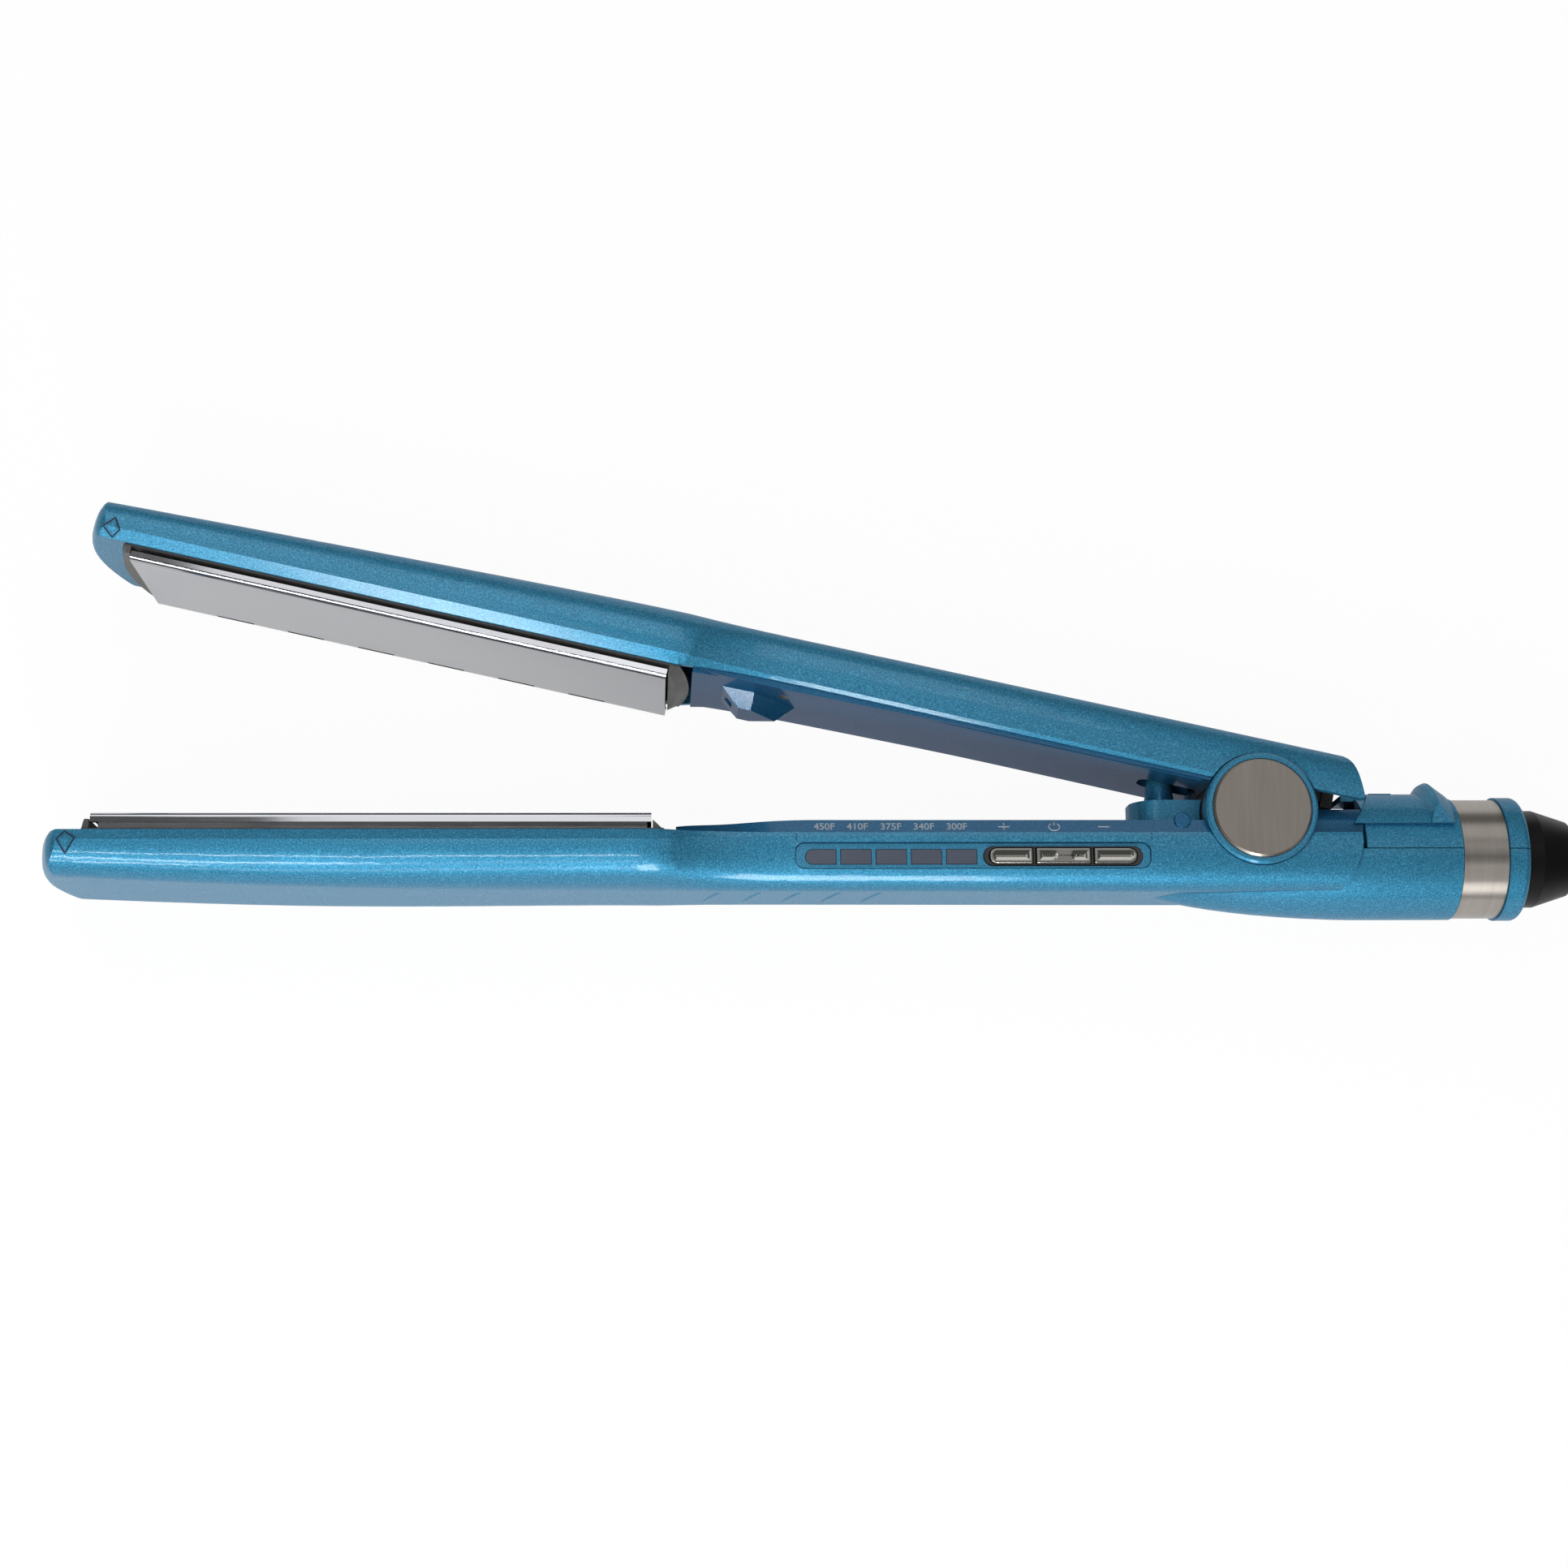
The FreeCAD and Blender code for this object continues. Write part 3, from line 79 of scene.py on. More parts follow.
# Lamps: name, place, target, size, brightness and, for one, a spin in degrees
LAMPS = (
    ("key", (-0.44, -0.62, 0.72), (-0.26, -0.02, 0.02), (0.8, 0.14), 3.0),
    ("front", (-0.2, -0.95, 0.42), (-0.15, -0.02, 0.01), (0.5, 0.2), 3.6),
    ("handle_box", (-0.02, -0.92, 0.42), (-0.1, -0.014, 0.03), (0.17, 0.42), 17.0),
    ("nose_strip", (-0.47, -0.78, 0.66), (-0.27, -0.014, 0.03), (0.10, 0.10), 24.0),
    ("edge_strip", (-0.47, -0.55, 0.795), (-0.2, 0.045, 0.038), (0.42, 0.06), 28.0, -15.0),
    ("line_strip", (-0.36, -0.28, 0.82), (-0.22, -0.011, 0.039), (0.6, 0.012), 75.0),
    ("top_middle", (-0.25, 0.3, 1.1), (-0.15, 0, 0.02), (0.3, 0.6), 1.5),
    ("top_right", (0.25, 0.3, 1.1), (0.0, 0, 0.02), (0.7, 0.6), 0.5),
    ("back", (-0.25, 0.8, 0.8), (-0.2, 0, 0.02), (1.0, 0.6), 1.7),
)

# Share of plain white that floor and world show to the camera, and to gloss and glass
WHITE_SEEN = 0.95
FLOOR_IN_GLOSS = 0.42
WORLD_IN_GLOSS = 0.02
WORLD_LEVEL = 0.15
FLOOR_Z = -3.75 * MM
FLOOR_SIZE = 6.0
FLOOR_GREY = 0.95
FLOOR_ROUGHNESS = 0.9

# Looks of CAD pieces other than their slot's: the lock bed in a darker copy of the pearl blue,
# which is painted shade, and the band in a steel whose brush lines run round it
OWN_LOOK = {"lock_bed": "deep_blue", "steel_band": "band_steel"}

# Print on the lower cover's flank, millimetres
LABELS = (("450F", -101.4), ("410F", -93.8), ("375F", -86.1), ("340F", -78.5), ("300F", -70.9))
LABEL_HEIGHT = 1.75
CAPITAL_SHARE = 0.7
PRINT_Y = -4.15
PRINT_SWELL = 0.04
PRINT_HALF = 0.01
PRINT_LIFT = 0.03
SIGN_LINE = 0.17
SIGN_REACH = 1.3
PLUS_X = -60.0
PLUS_REACH = 1.0
POWER_X = -48.3
POWER_RADII = (1.25, 1.0)
POWER_BAR = (0.1, 1.25)
POWER_GAP = 38
POWER_STEPS = 30
MINUS_X = -36.9

# Rhombus in each nose: corners in millimetres. Each line has a size as a share of them, a
# radius and a look, and sinks in by a share of its radius. The groove line's dark blue is
# painted shade of the groove.
LOWER_RHOMBUS = ((-272.4, -6.0), (-269.9, -7.6), (-271.9, -11.2), (-273.9, -7.9))
UPPER_RHOMBUS = ((-263.9, 67.1), (-262.85, 64.2), (-264.7, 62.7), (-266.6, 65.1))
RHOMBUS_LINES = (("groove", 1.0, 0.26, "groove_blue"), ("field", 0.62, 0.16, "pearl_blue"))
RHOMBUS_STEPS = 8
RHOMBUS_SINK = 0.4

# Grip ribs on the lower arm's outer face, millimetres
GRIP_X = (-127.0, -117.6, -108.4, -99.1, -89.7)
GRIP_Z = 17.8
GRIP_LEAN = 3.6
GRIP_LENGTH = 15.0
GRIP_HALF = 1.0
GRIP_HEIGHT = 0.35
GRIP_SINK = 0.03
GRIP_ROWS = 24
GRIP_COLUMNS = 8
WELD = 0.005

# Seams between the lower arm's rim and the panel's ends, millimetres
SEAM_X = (-107.9, -25.9)
SEAM_Y = -5.7
SEAM_STEP = 0.45
SEAM_POINTS = 5
SEAM_SINK = 0.06
FINE_LINE = 0.1

# Small boss on the lower cover's flank, beside the lead duct, millimetres: radius and height
BOSS_PLACE = (-18.4, -2.6)
BOSS_PROFILE = ((1.9, 31.0), (1.9, 33.12), (1.85, 33.28), (1.73, 33.4), (1.55, 33.46))
BOSS_SIDES = 48

# Light windows in the panel, millimetres
WINDOW_FIRST_X = -105.75
WINDOW_LENGTH = 6.9
WINDOW_PITCH = 8.1
WINDOW_COUNT = 5
WINDOW_Y = (-12.8, -9.5)
WINDOW_CORNER = 0.2
WINDOW_END = 1.6
PANEL_FACE_Z = 33.1

# Buttons, millimetres: both ends along X and the corner radius at each end
BUTTONS = (("button_plus", -63.6, -53.5, 1.8, 0.35), ("button_power", -52.8, -40.1, 0.35, 0.35),
           ("button_minus", -39.4, -29.3, 0.35, 1.8))
BUTTON_Y = (-12.85, -9.2)
BUTTON_BOTTOM = 32.6
BUTTON_TOP = 34.05
LEAST_CORNER = 0.06

# A cap's rim, as insets and falls, its dish, and the bar in the middle one's dish, millimetres
BUTTON_RIM = ((0.0, 0.45), (0.05, 0.24), (0.14, 0.09), (0.26, 0.02), (0.38, 0.0))
DISH_DEPTH = 0.24
DISH_START = 0.46
DISH_END = 1.76
DISH_STEPS = 12
BAR_REACH = 2.3
BAR_SLOPE = 0.7
BAR_SHARE = 0.95

# Points per corner, long side and end of a rounded outline
CORNER_STEPS = 6
LONG_STEPS = 24
END_STEPS = 4

# Line across each arm where its plate bay meets its waist, the upper arm's turn, and how far
# and how finely the shading turns there, on faces that are alike enough
CREASE_ALONG = -139.0 * MM
UPPER_TURN = math.radians(-12.75)
SOFT_REACH = 8.0 * MM
SOFT_CUTS = 16
SOFT_ALIKE = 0.75
SOFT_MARGIN = 0.001 * MM
CUT_MARGIN = 0.0001 * MM

# Unevenness of moulded surfaces and of metal: the darker shade, and steps of roughness
MOULDED_SHADE = 0.88
GLOSSIER = 0.04
DULLER = 0.05


def colour(red, green, blue):
    """Linear colour from the 0 to 255 values seen on a screen."""
    def linear(value):
        share = value / 255
        return share / 12.92 if share <= 0.04045 else ((share + 0.055) / 1.055) ** 2.4
    return (linear(red), linear(green), linear(blue), 1.0)


def grey(value):
    return (value, value, value, 1.0)


def shaded(base, factor):
    """Colour made lighter or darker, white at most."""
    return tuple(min(c * factor, 1) for c in base[:3]) + (1,)


class Nodes:
    """Small helper that builds a material's node tree."""

    def __init__(self, name):
        self.material = bpy.data.materials.new(name)
        self.material.use_nodes = True
        self.tree = self.material.node_tree
        self.shader = self.tree.nodes["Principled BSDF"]

    def set(self, **values):
        for name, value in values.items():
            self.shader.inputs[name.replace("_", " ")].default_value = value

    def add(self, kind, **values):
        node = self.tree.nodes.new(kind)
        for name, value in values.items():
            if hasattr(node, name):
                setattr(node, name, value)
            else:
                node.inputs[name.replace("_", " ")].default_value = value
        return node

    def link(self, source, output, target, socket):
        self.tree.links.new(source.outputs[output], target.inputs[socket])

    def noise(self, scale, detail, stretch=(1, 1, 1)):
        """Noise in object space, in features per metre, stretched along the axes."""
        place = self.add("ShaderNodeTexCoord")
        mapping = self.add("ShaderNodeMapping")
        mapping.inputs["Scale"].default_value = stretch
        noise = self.add("ShaderNodeTexNoise", Scale=scale, Detail=detail)
        self.link(place, "Object", mapping, "Vector")
        self.link(mapping, "Vector", noise, "Vector")
        return noise

    def ramp(self, source, socket, stops):
        """Turns noise into colours or greys, which drive one of the shader's sockets."""
        ramp = self.add("ShaderNodeValToRGB")
        elements = ramp.color_ramp.elements
        while len(elements) < len(stops):
            elements.new(0.5)
        for element, (place, value) in zip(elements, stops):
            element.position = place
            element.color = value
        self.link(source, "Fac", ramp, "Fac")
        self.link(ramp, "Color", self.shader, socket)

    def bump(self, source, strength, distance):
        bump = self.add("ShaderNodeBump", Strength=strength, Distance=distance)
        self.link(source, "Fac", bump, "Height")
        self.link(bump, "Normal", self.shader, "Normal")


def pearl(name, base, deep, edge, sparkle=1.6):
    """Metallic pearl lacquer: fine flakes under a clear coat."""
    n = Nodes(name)
    flakes = n.noise(scale=2600.0, detail=2.0)
    n.ramp(flakes, "Base Color", [(0.32, deep), (0.55, base), (0.75, shaded(base, sparkle))])
    n.bump(flakes, strength=0.16, distance=0.00012)
    cloud = n.noise(scale=60.0, detail=4.0)
    n.ramp(cloud, "Roughness", [(0.35, grey(0.44)), (0.7, grey(0.50))])
    n.set(Metallic=0.6, Specular_Tint=edge, Coat_Weight=0.36, Coat_Roughness=0.1)
    return n.material


def plain(name, base, roughness, coat=0.0, gloss=0.5):
    """Moulded surface with a fine grain and slightly uneven gloss."""
    n = Nodes(name)
    uneven = n.noise(scale=140.0, detail=3.0)
    low, high = grey(roughness - GLOSSIER), grey(roughness + DULLER)
    n.ramp(uneven, "Base Color", [(0.3, shaded(base, MOULDED_SHADE)), (0.7, base)])
    n.ramp(uneven, "Roughness", [(0.3, low), (0.7, high)])
    n.bump(n.noise(scale=900.0, detail=3.0), strength=0.25, distance=0.00004)
    n.set(Coat_Weight=coat, Coat_Roughness=0.1, Specular_IOR_Level=gloss)
    return n.material


def brushed(name, base, roughness, stretch, depth=0.00002, contrast=0.72, spread=0.0):
    """Metal with fine brush lines. A spread widens gloss across lines that run round X."""
    n = Nodes(name)
    lines = n.noise(scale=900.0, detail=4.0, stretch=stretch)
    n.ramp(lines, "Base Color", [(0.3, shaded(base, contrast)), (0.7, base)])
    n.bump(lines, strength=0.35, distance=depth)
    n.set(Metallic=1.0, Roughness=roughness)
    if spread:
        round_x = n.add("ShaderNodeTangent", direction_type="RADIAL", axis="X")
        n.link(round_x, "Tangent", n.shader, "Tangent")
        n.set(Anisotropic=spread, Anisotropic_Rotation=0.25)
    return n.material


def polished(name, base, roughness, wave=0.0):
    """Mirror metal with faint smears and, in a rolled sheet, a slight wave."""
    n = Nodes(name)
    smears = n.noise(scale=35.0, detail=5.0, stretch=(1, 1, 3))
    n.ramp(smears, "Roughness", [(0.4, grey(roughness)), (0.75, grey(roughness + DULLER))])
    if wave:
        n.bump(n.noise(scale=28.0, detail=1.0), strength=1.0, distance=wave)
    n.set(Base_Color=base, Metallic=1.0)
    return n.material


def make_materials():
    """Materials under their slot's name, which Blender may number as the frame has some too."""
    looks = (
        (pearl, "pearl_blue", colour(56, 128, 160), colour(38, 106, 140), colour(130, 170, 195)),
        # Darker copy of the pearl blue with duller flakes: painted shade for pieces that lie in
        # shade
        (pearl, "deep_blue", colour(36, 94, 130), colour(24, 78, 114), colour(80, 120, 150), 1.2),
        (plain, "charcoal", colour(62, 60, 58), 0.42),
        (polished, "plate_mirror", colour(170, 171, 175), 0.07, 0.0001),
        (brushed, "bar_aluminium", colour(200, 200, 203), 0.35, (0.1, 1, 1)),
        (plain, "ceramic", colour(228, 224, 212), 0.6),
        (polished, "spring_steel", colour(170, 170, 172), 0.25),
        (polished, "screw_steel", colour(120, 120, 124), 0.3),
        (plain, "lead_sleeve", colour(170, 48, 36), 0.5),
        (plain, "window_smoke", colour(62, 70, 86), 0.28, 0.15),
        (plain, "light", colour(220, 220, 210), 0.2),
        (plain, "panel_black", colour(20, 20, 24), 0.18, 0.5),
        (polished, "button_chrome", colour(142, 141, 136), 0.12),
        (plain, "board", colour(30, 88, 52), 0.4),
        (brushed, "pewter", colour(154, 147, 140), 0.30, (1, 0.08, 1), 0.000004, 0.88),
        (brushed, "band_steel", colour(170, 164, 157), 0.36, (1, 0.08, 0.08), 0.000004, 0.88, 0.85),
        (plain, "black_plastic", colour(9, 9, 9), 0.4, 0.0, 0.2),
        (plain, "print_grey", colour(150, 162, 172), 0.45),
        # Dark blue of the rhombus groove: painted shade in the groove
        (plain, "groove_blue", colour(14, 44, 70), 0.5),
        # Dark line: real seams between parts, and painted shadow round the light windows
        (plain, "seam_dark", colour(10, 24, 38), 0.6),
    )
    return {name: kind(name, *values) for kind, name, *values in looks}


def dress_nodes():
    for name, obj in frame["nodes"].items():
        obj.data.materials.clear()
        obj.data.materials.append(materials[OWN_LOOK.get(name, slots[name])])


def camera():
    data = bpy.data.cameras.new("camera")
    data.lens = CAMERA_LENS
    data.sensor_width = CAMERA_SENSOR
    data.clip_start = CAMERA_NEAR
    obj = bpy.data.objects.new("camera", data)
    obj.location = CAMERA_PLACE
    obj.rotation_euler = [math.radians(a) for a in CAMERA_TURN]
    bpy.context.collection.objects.link(obj)
    bpy.context.scene.camera = obj


def lamp(name, place, target, size, brightness, spin=0.0):
    """Rectangular lamp. Its brightness is what a mirror would show of it, 1 being white."""
    data = bpy.data.lights.new(name, "AREA")
    data.shape = "RECTANGLE"
    data.size, data.size_y = size
    data.energy = brightness * math.pi * size[0] * size[1]
    obj = bpy.data.objects.new(name, data)
    obj.location = place
    aim = Vector(target) - Vector(place)
    turn = aim.to_track_quat("-Z", "Y") @ Quaternion((0, 0, 1), math.radians(spin))
    obj.rotation_euler = turn.to_euler()
    bpy.context.collection.objects.link(obj)


def white_where_seen(tree, white_kind, gloss_share, shader, output):
    """Plain white for the camera and a softer white for gloss and glass, with some shade kept."""
    path = tree.nodes.new("ShaderNodeLightPath")
    white = tree.nodes.new(white_kind)
    white.inputs["Color"].default_value = grey(1.0)
    mix = tree.nodes.new("ShaderNodeMixShader")
    last = None
    for ray, share in (("Is Camera Ray", WHITE_SEEN), ("Is Glossy Ray", gloss_share),
                       ("Is Transmission Ray", gloss_share)):
        part = tree.nodes.new("ShaderNodeMath")
        part.name = ray
        part.operation = "MULTIPLY_ADD"
        part.inputs[1].default_value = share
        part.inputs[2].default_value = 0.0
        tree.links.new(path.outputs[ray], part.inputs[0])
        if last:
            tree.links.new(last.outputs[0], part.inputs[2])
        last = part
    tree.links.new(last.outputs[0], mix.inputs[0])
    tree.links.new(shader, mix.inputs[1])
    tree.links.new(white.outputs[0], mix.inputs[2])
    tree.links.new(mix.outputs[0], output)


def floor():
    n = Nodes("floor")
    n.set(Base_Color=grey(FLOOR_GREY), Roughness=FLOOR_ROUGHNESS, Specular_IOR_Level=0.0)
    white_where_seen(n.tree, "ShaderNodeEmission", FLOOR_IN_GLOSS, n.shader.outputs["BSDF"],
                     n.tree.nodes["Material Output"].inputs["Surface"])
    bpy.ops.mesh.primitive_plane_add(size=FLOOR_SIZE, location=(0, 0, FLOOR_Z))
    plane = bpy.context.object
    plane.name = "floor"
    plane.data.materials.append(n.material)


def world():
    data = bpy.data.worlds.new("world")
    data.use_nodes = True
    tree = data.node_tree
    background = tree.nodes["Background"]
    background.inputs["Color"].default_value = grey(1.0)
    background.inputs["Strength"].default_value = WORLD_LEVEL
    white_where_seen(tree, "ShaderNodeBackground", WORLD_IN_GLOSS,
                     background.outputs["Background"], tree.nodes["World Output"].inputs["Surface"])
    bpy.context.scene.world = data


def surface(node):
    """Tree of a CAD node's surface, for dropping points onto it."""
    mesh = frame["nodes"][node].data
    return BVHTree.FromPolygons([v.co for v in mesh.vertices], [p.vertices for p in mesh.polygons])


def drop(tree, x, y):
    """Highest point of a surface under a place in millimetres, and its normal."""
    place, normal, _, _ = tree.ray_cast(Vector((x * MM, y * MM, RAY_START)), DOWN)
    return place, normal


def add_piece(name, mesh, look, body):
    """Object that rides on a body, in one of the looks."""
    obj = bpy.data.objects.new(name, mesh)
    bpy.context.collection.objects.link(obj)
    mesh.materials.clear()
    mesh.materials.append(materials[look])
    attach(obj, body)
    return obj


def mesh_of_curve(name, data):
    """Mesh of a text or a line."""
    source = bpy.data.objects.new(name, data)
    mesh = bpy.data.meshes.new_from_object(source)
    mesh.name = name
    bpy.data.objects.remove(source)
    return mesh


def mesh_of_shape(name, shape, smooth=True):
    """Mesh of a bmesh, which is freed. Its faces turn smooth, or else stay as they are."""
    mesh = bpy.data.meshes.new(name)
    shape.to_mesh(mesh)
    shape.free()
    if smooth:
        for face in mesh.polygons:
            face.use_smooth = True
    return mesh


def join_rings(shape, rings):
    """Faces between closed rings of equally many vertices."""
    for outer, inner in zip(rings, rings[1:]):
        for k in range(len(outer)):
            after = (k + 1) % len(outer)
            shape.faces.new((outer[k], outer[after], inner[after], inner[k]))


def tube_piece(name, points, radius, look, body, closed=False):
    """Thin tube through points, with its radius in millimetres."""
    data = bpy.data.curves.new(name, "CURVE")
    data.dimensions = "3D"
    data.bevel_depth = radius * MM
    data.bevel_resolution = 3
    line = data.splines.new("POLY")
    line.points.add(len(points) - 1)
    for point, place in zip(line.points, points):
        point.co = (*place, 1.0)
    line.use_cyclic_u = closed
    return add_piece(name, mesh_of_curve(name, data), look, body)


def flank_frame(tree, x):
    """Place of the print on the flank, and its up and outward directions."""
    place, normal = drop(tree, x, PRINT_Y)
    return place, normal.cross(RIGHT).normalized(), normal


def print_words(name, words, tree, x):
    """Flat printed word in the flank's plane."""
    data = bpy.data.curves.new(name, "FONT")
    data.body = words
    data.align_x = "CENTER"
    data.align_y = "CENTER"
    data.size = LABEL_HEIGHT * MM / CAPITAL_SHARE
    data.offset = PRINT_SWELL * MM
    data.extrude = PRINT_HALF * MM
    mesh = mesh_of_curve(name, data)
    place, up, normal = flank_frame(tree, x)
    turn = Matrix((RIGHT, up, normal)).transposed().to_4x4()
    mesh.transform(Matrix.Translation(place + normal * (PRINT_LIFT * MM)) @ turn)
    add_piece(name, mesh, "print_grey", "lower_arm")


def print_line(name, tree, x, points):
    """Printed stroke through points, in millimetres from a place of the flank."""
    place, up, _ = flank_frame(tree, x)
    line = [place + RIGHT * (u * MM) + up * (v * MM) for u, v in points]
    tube_piece(name, line, SIGN_LINE, "print_grey", "lower_arm")


def labels():
    """Plain numbers and signs printed on the lower cover's flank."""
    flank = surface("lower_inner_cover")
    for number, (words, x) in enumerate(LABELS):
        print_words("label_%d" % number, words, flank, x)
    across = ((-SIGN_REACH, 0), (SIGN_REACH, 0))
    print_line("label_plus_across", flank, PLUS_X, across)
    print_line("label_plus_up", flank, PLUS_X, ((0, -PLUS_REACH), (0, PLUS_REACH)))
    print_line("label_minus", flank, MINUS_X, across)
    ring = []
    for step in range(POWER_STEPS + 1):
        angle = math.radians(90 + POWER_GAP + step * (360 - 2 * POWER_GAP) / POWER_STEPS)
        ring.append((POWER_RADII[0] * math.cos(angle), POWER_RADII[1] * math.sin(angle)))
    print_line("label_power_ring", flank, POWER_X, ring)
    print_line("label_power_bar", flank, POWER_X, [(0, end) for end in POWER_BAR])


def rhombus(name, node, corners, body):
    """Thin rhombus outline let into a nose, a tube whose dark blue is painted groove shade, with a
    raised field inside it.
    """
    tree = surface(node)
    middle = [sum(c[axis] for c in corners) / 4 for axis in (0, 1)]
    for part, share, radius, look in RHOMBUS_LINES:
        line = []
        for number, corner in enumerate(corners):
            after = corners[(number + 1) % 4]
            for step in range(RHOMBUS_STEPS):
                spot = [corner[axis] + (after[axis] - corner[axis]) * step / RHOMBUS_STEPS
                        for axis in (0, 1)]
                spot = [middle[axis] + (spot[axis] - middle[axis]) * share for axis in (0, 1)]
                place, normal = drop(tree, *spot)
                if place:
                    line.append(place - normal * (RHOMBUS_SINK * radius * MM))
        tube_piece("%s_%s" % (name, part), line, radius, look, body, True)


def grip_ribs():
    """Slanted leaf-shaped ribs that the fingers find on the lower arm's outer face."""
    tree = surface("lower_outer_shell")
    for number, x in enumerate(GRIP_X):
        name = "grip_rib_%d" % number
        shape = bmesh.new()
        rows = []
        for step in range(GRIP_ROWS + 1):
            along = step / GRIP_ROWS - 0.5
            swell = math.sqrt(max(1 - (2 * along) ** 2, 0.0))
            row = []
            for across in range(GRIP_COLUMNS + 1):
                turn = math.pi * across / GRIP_COLUMNS
                spot_x = x + GRIP_LEAN * along - GRIP_HALF * swell * math.cos(turn)
                spot_z = GRIP_Z + GRIP_LENGTH * along
                start = Vector((spot_x * MM, -RAY_START, spot_z * MM))
                place = tree.ray_cast(start, INWARD)[0]
                place.y -= (GRIP_HEIGHT * swell * math.sin(turn) - GRIP_SINK) * MM
                row.append(shape.verts.new(place))
            rows.append(row)
        for first, second in zip(rows, rows[1:]):
            for k in range(GRIP_COLUMNS):
                shape.faces.new((first[k], first[k + 1], second[k + 1], second[k]))
        bmesh.ops.remove_doubles(shape, verts=shape.verts, dist=WELD * MM)
        bmesh.ops.recalc_face_normals(shape, faces=shape.faces)
        add_piece(name, mesh_of_shape(name, shape), "pearl_blue", "lower_arm")


def seams():
    """Short seams where the lower arm's rim meets the control panel's ends."""
    tree = surface("lower_outer_shell")
    for number, x in enumerate(SEAM_X):
        line = []
        for step in range(SEAM_POINTS):
            place, normal = drop(tree, x, SEAM_Y - step * SEAM_STEP)
            if place:
                line.append(place - normal * (SEAM_SINK * MM))
        tube_piece("rim_seam_%d" % number, line, FINE_LINE, "seam_dark", "lower_arm")


def flank_boss():
    """Round boss with a softened top edge."""
    shape = bmesh.new()
    rings = []
    for radius, height in BOSS_PROFILE:
        ring = []
        for side in range(BOSS_SIDES):
            angle = 2 * math.pi * side / BOSS_SIDES
            spot = (BOSS_PLACE[0] + radius * math.cos(angle),
                    BOSS_PLACE[1] + radius * math.sin(angle), height)
            ring.append(shape.verts.new([value * MM for value in spot]))
        rings.append(ring)
    join_rings(shape, rings)
    shape.faces.new(rings[0][::-1])
    shape.faces.new(rings[-1])
    mesh = mesh_of_shape("flank_boss", shape, smooth=False)
    # Its darker blue is painted shade, not a colour of its own
    add_piece("flank_boss", mesh, "deep_blue", "lower_arm")


def rounded_outline(x0, x1, y0, y1, left, right):
    """Rectangle with its own corner radius at each end, as evenly dense points."""
    points = []
    corners = ((x1 - right, y1 - right, right, 0), (x0 + left, y1 - left, left, 90),
               (x0 + left, y0 + left, left, 180), (x1 - right, y0 + right, right, 270))
    for number, (cx, cy, radius, start) in enumerate(corners):
        for step in range(CORNER_STEPS + 1):
            angle = math.radians(start + step * 90 / CORNER_STEPS)
            points.append((cx + radius * math.cos(angle), cy + radius * math.sin(angle)))
        nx, ny, next_radius, next_start = corners[(number + 1) % 4]
        angle = math.radians(next_start)
        end = (nx + next_radius * math.cos(angle), ny + next_radius * math.sin(angle))
        begin = points[-1]
        count = LONG_STEPS if number in (0, 2) else END_STEPS
        for step in range(1, count):
            share = step / count
            points.append(tuple(b + (e - b) * share for b, e in zip(begin, end)))
    return points


def window_edges():
    """Dark shadow line round each light window."""
    for number in range(WINDOW_COUNT):
        x = WINDOW_FIRST_X + number * WINDOW_PITCH
        left = WINDOW_CORNER if number else WINDOW_END
        outline = rounded_outline(x, x + WINDOW_LENGTH, *WINDOW_Y, left, WINDOW_CORNER)
        line = [(u * MM, v * MM, PANEL_FACE_Z * MM) for u, v in outline]
        tube_piece("window_edge_%d" % number, line, FINE_LINE, "seam_dark", "lower_arm", True)


def cap_rings():
    """Inset and fall of each ring of a button's cap, from its foot into the dish."""
    rings = [(0.0, BUTTON_TOP - BUTTON_BOTTOM), *BUTTON_RIM]
    for step in range(DISH_STEPS + 1):
        share = step / DISH_STEPS
        fall = DISH_DEPTH * (0.5 - 0.5 * math.cos(math.pi * share))
        rings.append((DISH_START + (DISH_END - DISH_START) * share, fall))
    return rings


def dished_buttons():
    """Chromed caps with a dished top, and a raised bar on the middle one."""
    low, high = BUTTON_Y
    for name, x0, x1, left, right in BUTTONS:
        shape = bmesh.new()
        rings = []
        middle = (x0 + x1) / 2
        for inset, fall in cap_rings():
            outline = rounded_outline(x0 + inset, x1 - inset, low + inset, high - inset,
                                      max(left - inset, LEAST_CORNER),
                                      max(right - inset, LEAST_CORNER))
            ring = []
            for x, y in outline:
                height = BUTTON_TOP - fall
                if name == "button_power" and inset > DISH_START:
                    lift = min(max((BAR_REACH - abs(x - middle)) / BAR_SLOPE, 0.0), 1.0)
                    height += fall * lift * BAR_SHARE
                ring.append(shape.verts.new((x * MM, y * MM, height * MM)))
            rings.append(ring)
        join_rings(shape, rings)
        shape.faces.new(rings[0][::-1])
        bmesh.ops.contextual_create(shape, geom=rings[-1])
        bmesh.ops.triangulate(shape, faces=[f for f in shape.faces if len(f.verts) > 4])
        bmesh.ops.recalc_face_normals(shape, faces=shape.faces)
        cap = add_piece(name + "_cap", mesh_of_shape(name + "_cap", shape), "button_chrome", name)
        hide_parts(name)


def pressed_springs():
    """Copies of the float springs, each with its own mesh, riding on their arms in place of the CAD
    springs.
    """
    for arm in ("lower", "upper"):
        node = arm + "_float_springs"
        mesh = frame["nodes"][node].data.copy()
        springs = add_piece(node + "_pressed", mesh, slots[node], arm + "_arm")
        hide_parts(node)
        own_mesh(springs)


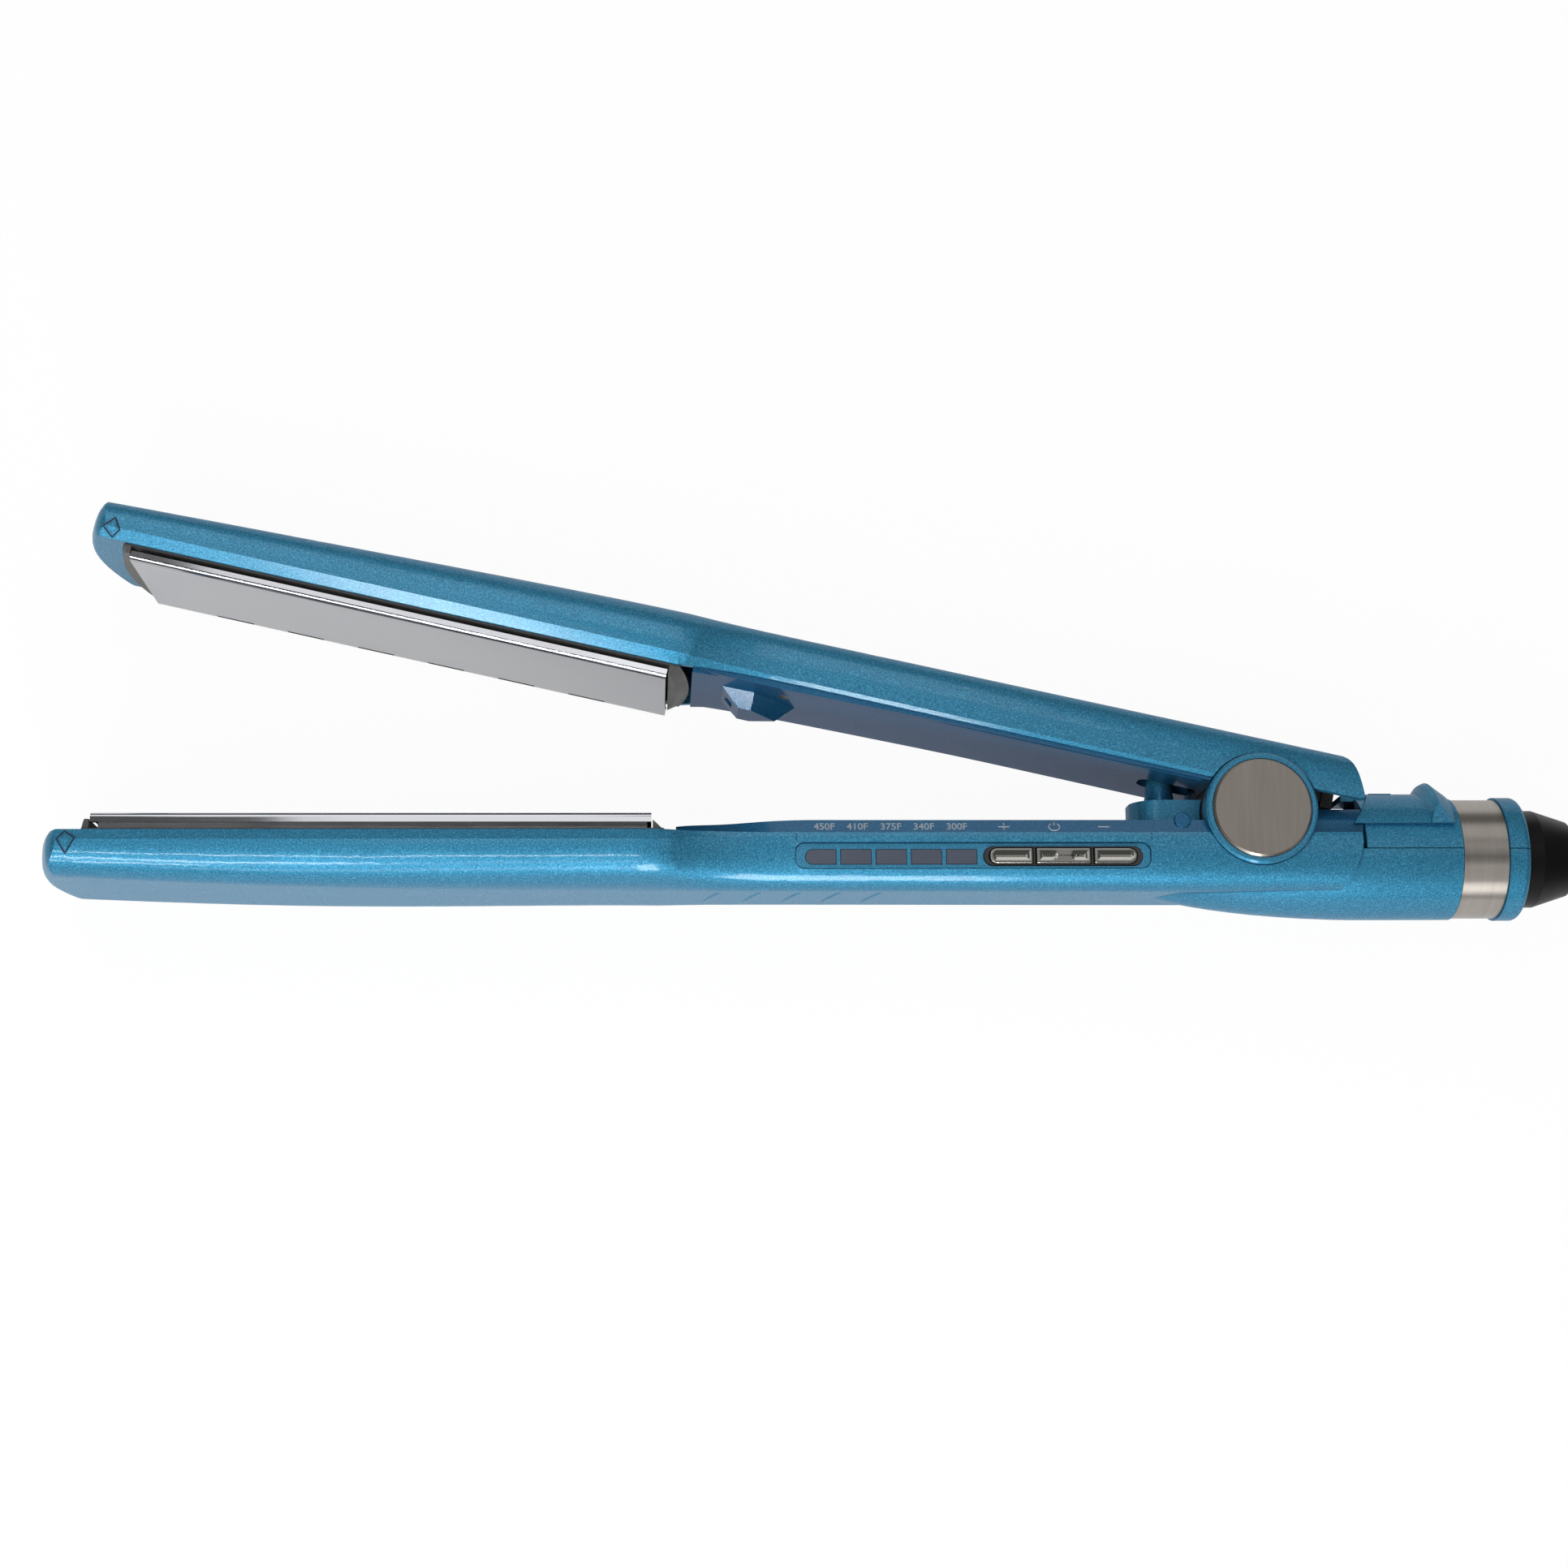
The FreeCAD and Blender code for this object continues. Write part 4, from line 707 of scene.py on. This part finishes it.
def cut_round_crease(node, axis):
    """Copy of a shell with cuts across the crease. Its corners keep the shell's normals."""
    source = frame["nodes"][node].data.copy()
    kept = source.attributes.new("kept_normal", "FLOAT_VECTOR", "CORNER")
    values = [c for normal in source.corner_normals for c in normal.vector]
    kept.data.foreach_set("vector", values)
    shape = bmesh.new()
    shape.from_mesh(source)
    for cut in range(SOFT_CUTS + 1):
        place = axis * (CREASE_ALONG + SOFT_REACH * (2 * cut / SOFT_CUTS - 1))
        bmesh.ops.bisect_plane(shape, geom=shape.verts[:] + shape.edges[:] + shape.faces[:],
                               dist=CUT_MARGIN, plane_co=place, plane_no=axis)
    mesh = mesh_of_shape(node + "_soft", shape, smooth=False)
    corners = [Vector(c.vector).normalized() for c in mesh.attributes["kept_normal"].data]
    mesh.attributes.remove(mesh.attributes["kept_normal"])
    bpy.data.meshes.remove(source)
    return mesh, corners


def soft_shell(node, body, turn):
    """Copy of a shell whose shading turns gradually from the plate bay to the waist."""
    axis = Vector((math.cos(turn), math.sin(turn), 0.0))
    tree = surface(node)
    mesh, corners = cut_round_crease(node, axis)
    for loop in mesh.loops:
        place = mesh.vertices[loop.vertex_index].co
        beyond = place.dot(axis) - CREASE_ALONG
        if abs(beyond) > SOFT_REACH + SOFT_MARGIN:
            continue
        normal = corners[loop.index]
        ends = [tree.find_nearest(place + axis * (end - beyond))[1]
                for end in (-SOFT_REACH, SOFT_REACH)]
        if min(end.dot(normal) for end in ends) < SOFT_ALIKE:
            continue
        share = min(max((beyond + SOFT_REACH) / (2 * SOFT_REACH), 0.0), 1.0)
        share = share * share * (3 - 2 * share)
        lean = ends[0].dot(axis) * (1 - share) + ends[1].dot(axis) * share
        across = (normal - axis * normal.dot(axis)).normalized()
        corners[loop.index] = across * math.sqrt(1 - lean * lean) + axis * lean
    mesh.normals_split_custom_set(corners)
    shell = add_piece(node + "_soft", mesh, slots[node], body)
    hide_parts(node)


materials = make_materials()
dress_nodes()
labels()
rhombus("lower_rhombus", "lower_outer_shell", LOWER_RHOMBUS, "lower_arm")
rhombus("upper_rhombus", "upper_outer_shell", UPPER_RHOMBUS, "upper_arm")
grip_ribs()
seams()
flank_boss()
window_edges()
dished_buttons()
pressed_springs()
soft_shell("lower_outer_shell", "lower_arm", 0.0)
soft_shell("upper_outer_shell", "upper_arm", UPPER_TURN)
camera()
for row in LAMPS:
    lamp(*row)
floor()
world()
bpy.context.scene.view_settings.view_transform = "Standard"
